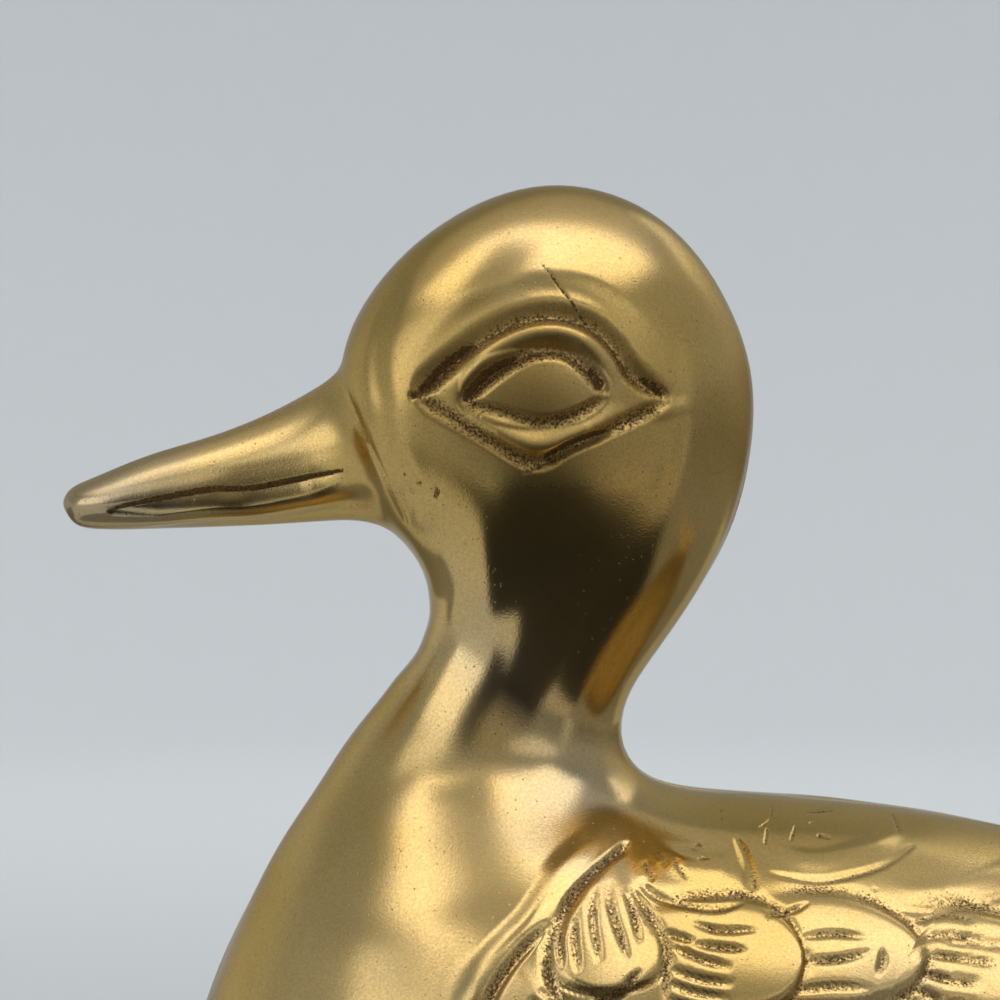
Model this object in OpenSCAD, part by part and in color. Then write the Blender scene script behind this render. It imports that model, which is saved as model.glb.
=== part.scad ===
// Brass duck figurine, cast hollow as a left and a right half that are brazed
// together along the middle and filed flush. The duck faces -X and stands on
// its open ground rim, which lies on Z = 0. All sizes are millimetres.

/* [Overall size] */
// Length from the bill tip to the tail tip
duck_length = 164; // [140:1:190]
// Width across the body, without the feathers
duck_width = 64; // [56:1:76]
// Height from the ground rim to the crown
duck_height = 123; // [108:1:142]

/* [Casting] */
// Wall thickness of the hollow body, neck and head
wall = 3; // [2:0.1:4]
// Thickness of the brazed joint between the two halves
braze = 0.8; // [0.4:0.1:1.2]

/* [Eye] */
// Length of the eye from corner to corner
eye_length = 21; // [18:0.5:22]
// Width of the chiselled grooves around the eye
groove_width = 1; // [0.6:0.1:1.2]
// Depth of the grooves of the eye, mouth and bill root
groove_depth = 0.7; // [0.4:0.1:1]

/* [Feathers] */
// Length of one small wing feather
covert_length = 15; // [13:0.5:17]
// Width of one small wing feather
covert_width = 9.4; // [8:0.2:10.6]
// Width of one long flight feather at its middle
flight_width = 7.6; // [6:0.2:9]
// Height of a feather's free edge above the body
feather_lift = 1.1; // [0.6:0.1:1.3]

/* [Facets] */
// Facets from the back line down to the belly line on each half
facets_round = 14; // [10:1:18]
// Facets along the duck between two stations
facets_along = 2; // [1:1:2]

/* [Hidden] */
brass_colour = "#b8954a";
braze_colour = "#c9ac66";

// Size that the stations and feather places below are drawn at
drawn = [164, 64, 123];
fit = [duck_length / drawn.x, duck_width / drawn.y, duck_height / drawn.z];

// Stations of the body from bill tip to tail tip. Each is a slanting section:
// X and Z of its back point, X and Z of its belly point, and its half width.
bill_stations = [
    [-82, 94.9, -81.4, 93.2, 1.8],
    [-81.2, 96, -80.5, 92.4, 3.8],
    [-78.8, 97.1, -77.9, 92.1, 5],
    [-73.9, 99, -72.4, 92.2, 5.6],
    [-68.5, 100.7, -66.4, 92.4, 5.9],
    [-63.5, 102.7, -60.8, 92.7, 6.6],
    [-59.6, 104.8, -56.2, 92.9, 7.6],
    [-57.2, 106.8, -53.2, 92.3, 9.4]
];
head_stations = [
    [-56.3, 109.9, -51.7, 91.2, 11.7],
    [-53.2, 115, -50.7, 90, 13.9],
    [-47.8, 119.8, -49.9, 88.6, 15.1],
    [-41, 122.7, -49.4, 87.2, 15.8],
    [-33.8, 122.6, -49.2, 85.8, 16],
    [-27.4, 119.2, -49.2, 84.3, 15.7],
    [-22.9, 113.6, -49.6, 82.9, 14.8],
    [-20.3, 106.7, -50.2, 81.4, 13.5]
];
neck_stations = [
    [-20.2, 99.6, -51.1, 80.1, 12.2],
    [-21.9, 92.6, -52.3, 78.7, 11.2],
    [-25, 86.7, -53.6, 77, 10.6],
    [-28.4, 81.6, -55.3, 74.9, 10.4],
    [-30.9, 77.8, -57.2, 72.3, 10.8],
    [-31.8, 74.8, -59.4, 68.9, 11.9],
    [-31.5, 72.5, -62, 64.9, 13.9],
    [-30.3, 70.7, -64.8, 59.8, 16.6]
];
body_stations = [
    [-28.3, 69.5, -67.9, 53.4, 19.8],
    [-25.1, 68.8, -70.7, 45.3, 23.2],
    [-20.8, 68.5, -73, 35.4, 26.4],
    [-15.4, 68.1, -72.5, 23.7, 29],
    [-9.1, 67.5, -68, 11.1, 30.7],
    [-1.9, 66.4, -56.3, -0.6, 31.6],
    [6.2, 64.7, -37.4, -7.8, 32],
    [14.8, 62.3, -14.9, -9.6, 31.8],
    [23.8, 59, 6.7, -7.8, 30.9],
    [32.8, 55.3, 23.8, -2.4, 29]
];
tail_stations = [
    [41.8, 51.3, 38.2, 6.6, 26.1],
    [50.8, 48, 49.9, 17.2, 22.3],
    [59.8, 46.2, 59.8, 27.4, 18.3],
    [68.3, 46.4, 68.6, 36.1, 14.2],
    [75.5, 48, 75.8, 42.6, 10.6],
    [80.3, 49.3, 80.5, 46.2, 7.4],
    [82, 49.5, 82, 47.7, 4.3]
];
stations = concat(bill_stations, head_stations, neck_stations, body_stations, tail_stations);
last = len(stations) - 1;

// The hollow runs from the front of the head to short of the tail tip
hollow_start = len(bill_stations) + 0.6;
hollow_end = last - 3;
hollow_share = 0.5;

// Stations between which the wings lie
wing_start = len(bill_stations) + len(head_stations) + 4;
wing_end = last - 1;

// Eye: middle of the opening, and how far each lid rises and drops
eye_at = [-39.4, 103.4];
lid_rise = 7.2;
lid_drop = 5.4;
ball_share = 0.56;
arc_facets = 42;

// Mouth line and the crease where the bill meets the face, end to end
mouth_line = [[-77.2, 93.9], [-56.2, 97.3]];
mouth_gap = 0.7;
bill_crease = [[-57.6, 106.4], [-51.2, 93]];
crease_gap = 0.8;

// Front edge of the wing, from the back down round the shoulder to the flank
shoulder = [[-32, 65.6], [-36.6, 62.4], [-40.6, 58.6], [-43.8, 53.8], [-45.8, 48.4],
            [-46.4, 42.6], [-45.2, 37], [-41.6, 32], [-35.6, 28.6]];
shoulder_width = 3.4;

// Rows of small feathers: X and Z of the first tip, how many, and their heading
covert_rows = [
    [[-18.4, 57.8], 3, -2],
    [[-25.2, 49.4], 3, -1],
    [[-29.2, 41.2], 3, 2],
    [[-27, 33.4], 3, 6]
];
covert_pitch = 10.2;
// Feathers that fan down from the shoulder: tip, heading and share of the length
front_feathers = [
    [[-34, 55.4], -94, 0.72],
    [[-35, 46], -52, 1],
    [[-34.8, 36.4], -52, 1]
];

// Long feathers of the upper and the lower wing: root, middle and tip
flight_count = 6;
flight_root = [[4, 56.4], [-3, 31.6]];
flight_bend = [[20, 55.2], [33, 28.6]];
flight_tip = [[37, 51], [63, 41.4]];
back_feathers = [
    [[-33, 65.4], [-27, 64.8], [-21.4, 63.2]],
    [[-24, 66], [-16, 65.2], [-7, 65.9]],
    [[-16, 63.4], [-6, 62.2], [5, 63.2]],
    [[-4, 61.8], [8, 60], [19, 60.2]],
    [[10, 60], [20, 57.4], [31, 55]]
];
back_width = 5.2;

// Tail feathers of one side, from the middle outward: X and Y of root and tip
tail_feathers = [
    [[56, 2.8], [81, 2]],
    [[57, 8], [79, 5.6]],
    [[58, 12.6], [75.6, 9.2]]
];
tail_width = 5.4;

// How deep a feather is let into the body, so that it never floats
bed = 0.8;
far = 200;

// Smooth curve through the stations: the control rows are pushed outward until
// the averaged curve runs through every drawn station.
function averaged(rows, i) =
    i == 0 || i == len(rows) - 1 ? rows[i] : (rows[i - 1] + 4 * rows[i] + rows[i + 1]) / 6;
function sharpened(rows, guess, rounds) =
    rounds == 0 ? guess
    : sharpened(rows, [for (i = [0 : len(rows) - 1]) guess[i] + rows[i] - averaged(guess, i)],
                rounds - 1);
control = sharpened(stations, stations, 6);
function knot(i) =
    i < 0 ? 2 * control[0] - control[1]
    : i > last ? 2 * control[last] - control[last - 1]
    : control[i];
function section(u) =
    let (i = max(0, min(floor(u), last - 1)), f = u - i)
    ((1 - f) ^ 3 * knot(i - 1) + (3 * f ^ 3 - 6 * f ^ 2 + 4) * knot(i)
     + (3 * f + 3 * f ^ 2 - 3 * f ^ 3 + 1) * knot(i + 1) + f ^ 3 * knot(i + 2)) / 6;

// Back point, belly point and half width of the section at u, at the real size
function back_point(s) = [s[0] * fit.x, s[1] * fit.z];
function belly_point(s) = [s[2] * fit.x, s[3] * fit.z];
function half_width(s) = s[4] * fit.y;

// Point of the left skin: u runs from bill to tail, angle from back to belly,
// and rise is the height above the skin
function skin_point(u, angle, rise = 0) =
    let (s = section(u), a = back_point(s), b = belly_point(s), r = (a - b) / 2,
         p = (a + b) / 2 + r * (1 + rise / norm(r)) * cos(angle))
    [p.x, -(half_width(s) + rise) * sin(angle), p.y];

// Station whose section passes through a point of the side view
function side_station(p, low = wing_start, high = wing_end, rounds = 16) =
    let (u = (low + high) / 2, s = section(u), a = back_point(s), b = belly_point(s))
    rounds == 0 ? u
    : cross(a - b, p - b) < 0 ? side_station(p, u, high, rounds - 1)
    : side_station(p, low, u, rounds - 1);

// Skin point that a point of the side view, or of the top view, falls on
function from_side(p, rise) =
    let (q = [p.x * fit.x, p.y * fit.z], u = side_station(q), s = section(u),
         a = back_point(s), b = belly_point(s), r = (a - b) / 2,
         share = (q - (a + b) / 2) * r / (r * r))
    skin_point(u, acos(max(-1, min(1, share))), rise);
function from_top(p, rise) =
    let (u = side_station([p.x * fit.x, (drawn.z / 2 - 15) * fit.z]), s = section(u))
    skin_point(u, asin(min(1, p.y * fit.y / half_width(s))), rise);

// Places along the duck from one station to another
function places(from, to, share) =
    let (steps = ceil((to - from) * facets_along * share))
    [for (i = [0 : steps]) from + (to - from) * i / steps];

// Solid half body, grown outward by rise, between two stations. A hollow that
// nobody sees takes a share of the facets.
module half_body(rise = 0, from = 0, to = last, share = 1) {
    along = places(from, to, share);
    steps = len(along) - 1;
    around = ceil(facets_round * share);
    ring = around + 1;
    points = [for (u = along, j = [0 : around]) skin_point(u, 180 * j / around, rise)];
    sides = [for (i = [0 : steps - 1], j = [0 : ring - 1])
        let (k = (j + 1) % ring) [i * ring + j, (i + 1) * ring + j, (i + 1) * ring + k, i * ring + k]];
    front = [[for (j = [0 : ring - 1]) j]];
    rear = [[for (j = [ring - 1 : -1 : 0]) steps * ring + j]];
    polyhedron(points, concat(sides, front, rear), convexity = 8);
}

// Convex solid round a list of points
module wrapped(points) {
    hull() polyhedron(points, [[for (i = [0 : len(points) - 1]) i]]);
}

// Point on a curve with a root, a bend and a tip
function on_curve(curve, f) =
    (1 - f) ^ 2 * curve[0] + 2 * f * (1 - f) * curve[1] + f ^ 2 * curve[2];

// Unit vector to the lower side of a heading in the side view
function lower_side(heading) = [sin(heading), -cos(heading)];

// Small feather with a round tip: its root lies in the body, its tip stands up
module covert(tip, heading, share = 1) {
    axis = [cos(heading), sin(heading)];
    across = lower_side(heading);
    radius = covert_width / 2;
    middle = tip - axis * radius;
    rim = [for (angle = [-90 : 30 : 90]) middle + radius * (axis * cos(angle) + across * sin(angle))];
    root = tip - axis * covert_length * share;
    wrapped(concat(
        [for (p = rim) from_side(p, feather_lift * 0.8)],
        [for (p = rim) from_side(p, -bed)],
        [for (f = [0, 0.5]) from_side(middle + (root - middle) * f, feather_lift * (1.2 - f * 1.6))],
        [for (side = [-0.7, 0.7]) from_side(root + across * radius * side, -bed)]
    ));
}

// Long feather along a curve: upper edge let in, lower edge standing up
module long_feather(curve, width, steps = 5) {
    function spine(i) = on_curve(curve, i / steps);
    function along(i) = spine(min(i + 0.5, steps)) - spine(max(i - 0.5, 0));
    function breadth(i) = width / 2 * sqrt(max(0.03, 1 - (i / steps) ^ 6)) * (0.75 + 0.25 * i / steps);
    function edge(i, side, rise) =
        let (d = along(i) / norm(along(i)))
        from_side(spine(i) + [d.y, -d.x] * breadth(i) * side, rise);
    function rib(i) = [
        edge(i, -1, feather_lift * 0.25), edge(i, 0, feather_lift * 0.9),
        edge(i, 0.9, feather_lift), edge(i, 1, -bed), edge(i, -1, -bed)
    ];
    for (i = [0 : steps - 1]) wrapped(concat(rib(i), rib(i + 1)));
}

// Rounded bend of the wing that the small feathers grow from
module wing_shoulder() {
    function tangent(i) =
        shoulder[min(i + 1, len(shoulder) - 1)] - shoulder[max(i - 1, 0)];
    function rib(i) =
        let (d = tangent(i) / norm(tangent(i)), n = [-d.y, d.x] * shoulder_width / 2)
        [from_side(shoulder[i] - n, 0), from_side(shoulder[i] - n * 0.4, feather_lift),
         from_side(shoulder[i] + n, feather_lift * 0.7), from_side(shoulder[i] + n * 1.4, -bed),
         from_side(shoulder[i] - n, -bed)];
    for (i = [0 : len(shoulder) - 2]) wrapped(concat(rib(i), rib(i + 1)));
}

module wing() {
    wing_shoulder();
    for (row = covert_rows, k = [0 : row[1] - 1]) covert(row[0] + [k * covert_pitch, 0], row[2]);
    for (feather = front_feathers) covert(feather[0], feather[1], feather[2]);
    for (k = [0 : flight_count - 1]) {
        f = k / (flight_count - 1);
        long_feather([for (place = [flight_root, flight_bend, flight_tip])
            place[0] + (place[1] - place[0]) * f], flight_width);
    }
    for (curve = back_feathers) long_feather(curve, back_width, 4);
}

// Tail feather between two points of the top view
module tail_feather(root, tip) {
    function rib(f, half) = let (p = root + (tip - root) * f) [
        from_top(p + [0, half], feather_lift), from_top(p + [1.2, 0], feather_lift * 0.8),
        from_top(p - [0, half], -bed * 0.3), from_top(p - [0, half], -bed),
        from_top(p + [0, half], -bed)
    ];
    wrapped(concat(rib(0, tail_width * 0.4), rib(0.5, tail_width * 0.5)));
    wrapped(concat(rib(0.5, tail_width * 0.5), rib(0.93, tail_width * 0.44)));
    wrapped(concat(rib(0.93, tail_width * 0.44), rib(1, tail_width * 0.2)));
}

module tail_fan() {
    for (feather = tail_feathers) tail_feather(feather[0], feather[1]);
}

// Almond outline between two arcs, round its own middle
module almond(length, rise, drop) {
    top = (length ^ 2 / 4 + rise ^ 2) / (2 * rise);
    bottom = (length ^ 2 / 4 + drop ^ 2) / (2 * drop);
    intersection() {
        translate([0, rise - top]) circle(top, $fn = arc_facets);
        translate([0, bottom - drop]) circle(bottom, $fn = arc_facets);
    }
}

// Chiselled groove that runs round an almond
module almond_groove(length, rise, drop) {
    difference() {
        almond(length, rise, drop);
        almond(length - 3 * groove_width, rise - groove_width, drop - groove_width);
    }
}

// Slim cut between two points, widest in its middle
module slit(line, gap) {
    run = line[1] - line[0];
    translate((line[0] + line[1]) / 2) rotate(atan2(run.y, run.x))
        almond(norm(run), gap / 2, gap / 2);
}

// Side view of all that is cut into the face
module face_cuts() {
    scale([fit.x, fit.z]) {
        translate(eye_at) {
            almond_groove(eye_length, lid_rise, lid_drop);
            almond_groove(eye_length * ball_share, lid_rise * ball_share, lid_drop * ball_share);
        }
        slit(mouth_line, mouth_gap);
        slit(bill_crease, crease_gap);
    }
}

// The left half: feathered skin, less the face cuts and the hollow
module half_casting() {
    difference() {
        union() {
            half_body();
            wing();
            tail_fan();
        }
        difference() {
            rotate([90, 0, 0]) linear_extrude(far) face_cuts();
            half_body(-groove_depth);
        }
        half_body(-wall, hollow_start, hollow_end, hollow_share);
        translate([-far, -braze / 2, -far]) cube(2 * far);
        translate([-far, -far, -2 * far]) cube(2 * far);
    }
}

module left_casting() {
    color(brass_colour) half_casting();
}

module right_casting() {
    color(brass_colour) mirror([0, 1, 0]) half_casting();
}

// Middle outline of the duck, or of its hollow, in the side view
module middle_outline(rise, from, to, share) {
    along = places(from, to, share);
    back = [for (u = along) skin_point(u, 0, rise)];
    belly = [for (i = [len(along) - 1 : -1 : 0]) skin_point(along[i], 180, rise)];
    polygon([for (p = concat(back, belly)) [p.x, p.z]]);
}

// Strip of brazing metal that joins the two halves all round the middle
module brazed_seam() {
    color(braze_colour) translate([0, braze / 2, 0]) rotate([90, 0, 0]) linear_extrude(braze)
        difference() {
            middle_outline(0, 0, last, 1);
            middle_outline(-wall, hollow_start, hollow_end, hollow_share);
            translate([-far, -2 * far]) square(2 * far);
        }
}

left_casting();
right_casting();
brazed_seam();
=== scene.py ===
"""Brass duck figurine: chased feathers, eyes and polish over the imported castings.

The duck faces -X, its left side is -Y and it stands on Z = 0. Shapes are worked
out in millimetres, as the castings are drawn, and turned to metres in the mesh.
"""

import logging
import math
from collections.abc import Callable, Iterable, Sequence
from dataclasses import dataclass, field
from enum import Enum

import bpy
import numpy as np
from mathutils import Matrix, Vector
from mathutils.geometry import tessellate_polygon


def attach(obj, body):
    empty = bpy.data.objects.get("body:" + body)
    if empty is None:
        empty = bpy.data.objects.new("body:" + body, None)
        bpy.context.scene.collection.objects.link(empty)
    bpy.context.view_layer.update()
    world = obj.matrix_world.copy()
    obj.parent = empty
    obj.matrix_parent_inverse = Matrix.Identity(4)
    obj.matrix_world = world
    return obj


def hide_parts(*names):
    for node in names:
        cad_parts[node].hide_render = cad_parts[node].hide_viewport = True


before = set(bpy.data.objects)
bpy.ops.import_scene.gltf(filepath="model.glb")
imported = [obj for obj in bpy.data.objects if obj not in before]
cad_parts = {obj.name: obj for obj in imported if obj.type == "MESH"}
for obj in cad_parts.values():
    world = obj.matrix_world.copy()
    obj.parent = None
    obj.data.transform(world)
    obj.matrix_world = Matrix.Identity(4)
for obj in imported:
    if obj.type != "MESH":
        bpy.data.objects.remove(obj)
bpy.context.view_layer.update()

log = logging.getLogger("brass_duck")

MM = 0.001
Point = tuple[float, float]

# Sections of the duck from bill tip to tail tip, as the castings have them:
# X and Z of the back point, X and Z of the belly point, half width.
BILL_STATIONS = (
    (-82, 94.9, -81.4, 93.2, 1.8), (-81.2, 96, -80.5, 92.4, 3.8), (-78.8, 97.1, -77.9, 92.1, 5),
    (-73.9, 99, -72.4, 92.2, 5.6), (-68.5, 100.7, -66.4, 92.4, 5.9), (-63.5, 102.7, -60.8, 92.7, 6.6),
    (-59.6, 104.8, -56.2, 92.9, 7.6), (-57.2, 106.8, -53.2, 92.3, 9.4),
)
HEAD_STATIONS = (
    (-56.3, 109.9, -51.7, 91.2, 11.7), (-53.2, 115, -50.7, 90, 13.9), (-47.8, 119.8, -49.9, 88.6, 15.1),
    (-41, 122.7, -49.4, 87.2, 15.8), (-33.8, 122.6, -49.2, 85.8, 16), (-27.4, 119.2, -49.2, 84.3, 15.7),
    (-22.9, 113.6, -49.6, 82.9, 14.8), (-20.3, 106.7, -50.2, 81.4, 13.5),
)
NECK_STATIONS = (
    (-20.2, 99.6, -51.1, 80.1, 12.2), (-21.9, 92.6, -52.3, 78.7, 11.2), (-25, 86.7, -53.6, 77, 10.6),
    (-28.4, 81.6, -55.3, 74.9, 10.4), (-30.9, 77.8, -57.2, 72.3, 10.8), (-31.8, 74.8, -59.4, 68.9, 11.9),
    (-31.5, 72.5, -62, 64.9, 13.9), (-30.3, 70.7, -64.8, 59.8, 16.6),
)
BODY_STATIONS = (
    (-28.3, 69.5, -67.9, 53.4, 19.8), (-25.1, 68.8, -70.7, 45.3, 23.2), (-20.8, 68.5, -73, 35.4, 26.4),
    (-15.4, 68.1, -72.5, 23.7, 29), (-9.1, 67.5, -68, 11.1, 30.7), (-1.9, 66.4, -56.3, -0.6, 31.6),
    (6.2, 64.7, -37.4, -7.8, 32), (14.8, 62.3, -14.9, -9.6, 31.8), (23.8, 59, 6.7, -7.8, 30.9),
    (32.8, 55.3, 23.8, -2.4, 29),
)
TAIL_STATIONS = (
    (41.8, 51.3, 38.2, 6.6, 26.1), (50.8, 48, 49.9, 17.2, 22.3), (59.8, 46.2, 59.8, 27.4, 18.3),
    (68.3, 46.4, 68.6, 36.1, 14.2), (75.5, 48, 75.8, 42.6, 10.6), (80.3, 49.3, 80.5, 46.2, 7.4),
    (82, 49.5, 82, 47.7, 4.3),
)
STATIONS = BILL_STATIONS + HEAD_STATIONS + NECK_STATIONS + BODY_STATIONS + TAIL_STATIONS

WALL = 3.0
SEAM_GAP = 0.8
POLISH_LOSS = 0.06
HOLLOW_START = len(BILL_STATIONS) + 0.6
HOLLOW_END = len(STATIONS) - 4.0


class Side(Enum):
    """Which half of the duck a mesh belongs to."""

    LEFT = 1.0
    RIGHT = -1.0


class Tool(Enum):
    """Tool that leaves a line in the metal."""

    CHISEL = "a crisp V"
    SCRAPER = "a soft round hollow"


def linear(code: str) -> tuple[float, float, float, float]:
    """Turns an sRGB hex colour into linear red, green, blue and alpha.

    Args:
        code: The colour as "#RRGGBB".

    Returns:
        The linear colour with alpha 1.
    """
    parts = [int(code[i:i + 2], 16) / 255 for i in (1, 3, 5)]
    red, green, blue = (c / 12.92 if c <= 0.04045 else ((c + 0.055) / 1.055) ** 2.4 for c in parts)
    return red, green, blue, 1.0


def smooth_step(low: float, high: float, value: np.ndarray) -> np.ndarray:
    """Eases from 0 at low to 1 at high.

    Args:
        low: Value where the step starts.
        high: Value where the step ends.
        value: Values to ease.

    Returns:
        The eased values.
    """
    t = np.clip((value - low) / (high - low), 0, 1)
    return t * t * (3 - 2 * t)


def curved(points: Sequence[Point], steps: int = 5) -> np.ndarray:
    """Draws a smooth line through points.

    Args:
        points: Two or more points of a view.
        steps: Pieces between two neighbouring points.

    Returns:
        The line's points, one row each.
    """
    rows = np.array(points, float)
    if len(rows) < 3:
        return rows
    ends = np.vstack([2 * rows[0] - rows[1], rows, 2 * rows[-1] - rows[-2]])
    line = []
    for a, b, c, d in zip(ends, ends[1:], ends[2:], ends[3:]):
        for t in np.arange(steps) / steps:
            line.append(0.5 * (2 * b + (c - a) * t + (2 * a - 5 * b + 4 * c - d) * t ** 2
                               + (3 * b - a - 3 * c + d) * t ** 3))
    line.append(rows[-1])
    return np.array(line)


class Skin:
    """Surface lofted through the duck's stations, on the left side, in millimetres."""

    def __init__(self, rise: float = 0.0) -> None:
        """Sets up the loft.

        Args:
            rise: How far the surface lies above the drawn one, less than 0 inside it.
        """
        rows = np.array(STATIONS, float)
        control = rows.copy()
        for _ in range(6):
            mean = control.copy()
            mean[1:-1] = (control[:-2] + 4 * control[1:-1] + control[2:]) / 6
            control += rows - mean
        self.last = len(rows) - 1
        self.rise = rise
        self.knots = np.vstack([2 * control[0] - control[1], control, 2 * control[-1] - control[-2]])

    def section(self, u: np.ndarray) -> tuple[np.ndarray, np.ndarray, np.ndarray]:
        """Gives the sections at places along the duck.

        Args:
            u: Places, counted in stations from the bill tip.

        Returns:
            Middles and half chords in X and Z, and half widths.
        """
        i = np.clip(np.floor(u).astype(int), 0, self.last - 1)
        f = (u - i)[:, None]
        a, b, c, d = (self.knots[i + k] for k in range(4))
        row = ((1 - f) ** 3 * a + (3 * f ** 3 - 6 * f ** 2 + 4) * b
               + (1 + 3 * f + 3 * f ** 2 - 3 * f ** 3) * c + f ** 3 * d) / 6
        middle = (row[:, 0:2] + row[:, 2:4]) / 2
        chord = (row[:, 0:2] - row[:, 2:4]) / 2
        chord = chord * (1 + self.rise / np.linalg.norm(chord, axis=1))[:, None]
        return middle, chord, row[:, 4] + self.rise

    def place(self, u: np.ndarray, angle: np.ndarray) -> np.ndarray:
        """Gives points of the surface.

        Args:
            u: Places along the duck, in stations.
            angle: Turn from the back line down to the belly line, in radians.

        Returns:
            One row of X, Y and Z for each place.
        """
        middle, chord, width = self.section(u)
        side = middle + chord * np.cos(angle)[:, None]
        return np.column_stack([side[:, 0], -width * np.sin(angle), side[:, 1]])

    def slopes(self, u: np.ndarray, angle: np.ndarray) -> tuple[np.ndarray, np.ndarray]:
        """Gives how the surface runs along the duck and round it.

        Args:
            u: Places along the duck, in stations.
            angle: Turn from the back line, in radians.

        Returns:
            Steps along the duck for each station, and round it for each radian.
        """
        small = 1e-3
        along = (self.place(np.minimum(u + small, self.last), angle)
                 - self.place(np.maximum(u - small, 0), angle)) / (2 * small)
        round_it = (self.place(u, angle + small) - self.place(u, angle - small)) / (2 * small)
        return along, round_it

    def normal(self, u: np.ndarray, angle: np.ndarray) -> np.ndarray:
        """Gives the outward unit normals.

        Args:
            u: Places along the duck, in stations.
            angle: Turn from the back line, in radians.

        Returns:
            One row for each place.
        """
        along, round_it = self.slopes(u, angle)
        out = np.cross(round_it, along)
        return out / np.linalg.norm(out, axis=1)[:, None]

    def seam_angle(self, u: np.ndarray) -> np.ndarray:
        """Gives the angle at which the brazed seam starts beside the back line."""
        return np.arcsin(np.clip(SEAM_GAP / 2 / self.section(u)[2], 0, 1))

    def end_angle(self, u: np.ndarray) -> np.ndarray:
        """Gives the angle at which the half ends, at the seam or on the ground.

        Args:
            u: Places along the duck, in stations.

        Returns:
            One angle for each place, in radians.
        """
        middle, chord, _ = self.section(u)
        ground = np.arccos(np.clip(-middle[:, 1] / chord[:, 1], -1, 1))
        return np.minimum(math.pi - self.seam_angle(u), ground)

    def ground_places(self) -> tuple[float, float]:
        """Finds where the belly line meets the ground.

        Returns:
            The front place and the rear place, in stations.
        """
        def belly(u: float) -> float:
            """Gives the height of the belly line at one place."""
            at = np.array([u])
            return float(self.place(at, math.pi - self.seam_angle(at))[0, 2])

        found = []
        for outside, inside in ((25.0, 31.0), (37.0, 31.0)):
            for _ in range(40):
                half = (outside + inside) / 2
                if belly(half) > 0:
                    outside = half
                else:
                    inside = half
            found.append((outside + inside) / 2)
        return found[0], found[1]


@dataclass
class View:
    """Points of the surface as a camera along Y or along Z sees them."""

    plane: np.ndarray
    slope: np.ndarray
    seen: np.ndarray
    facing: np.ndarray


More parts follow.
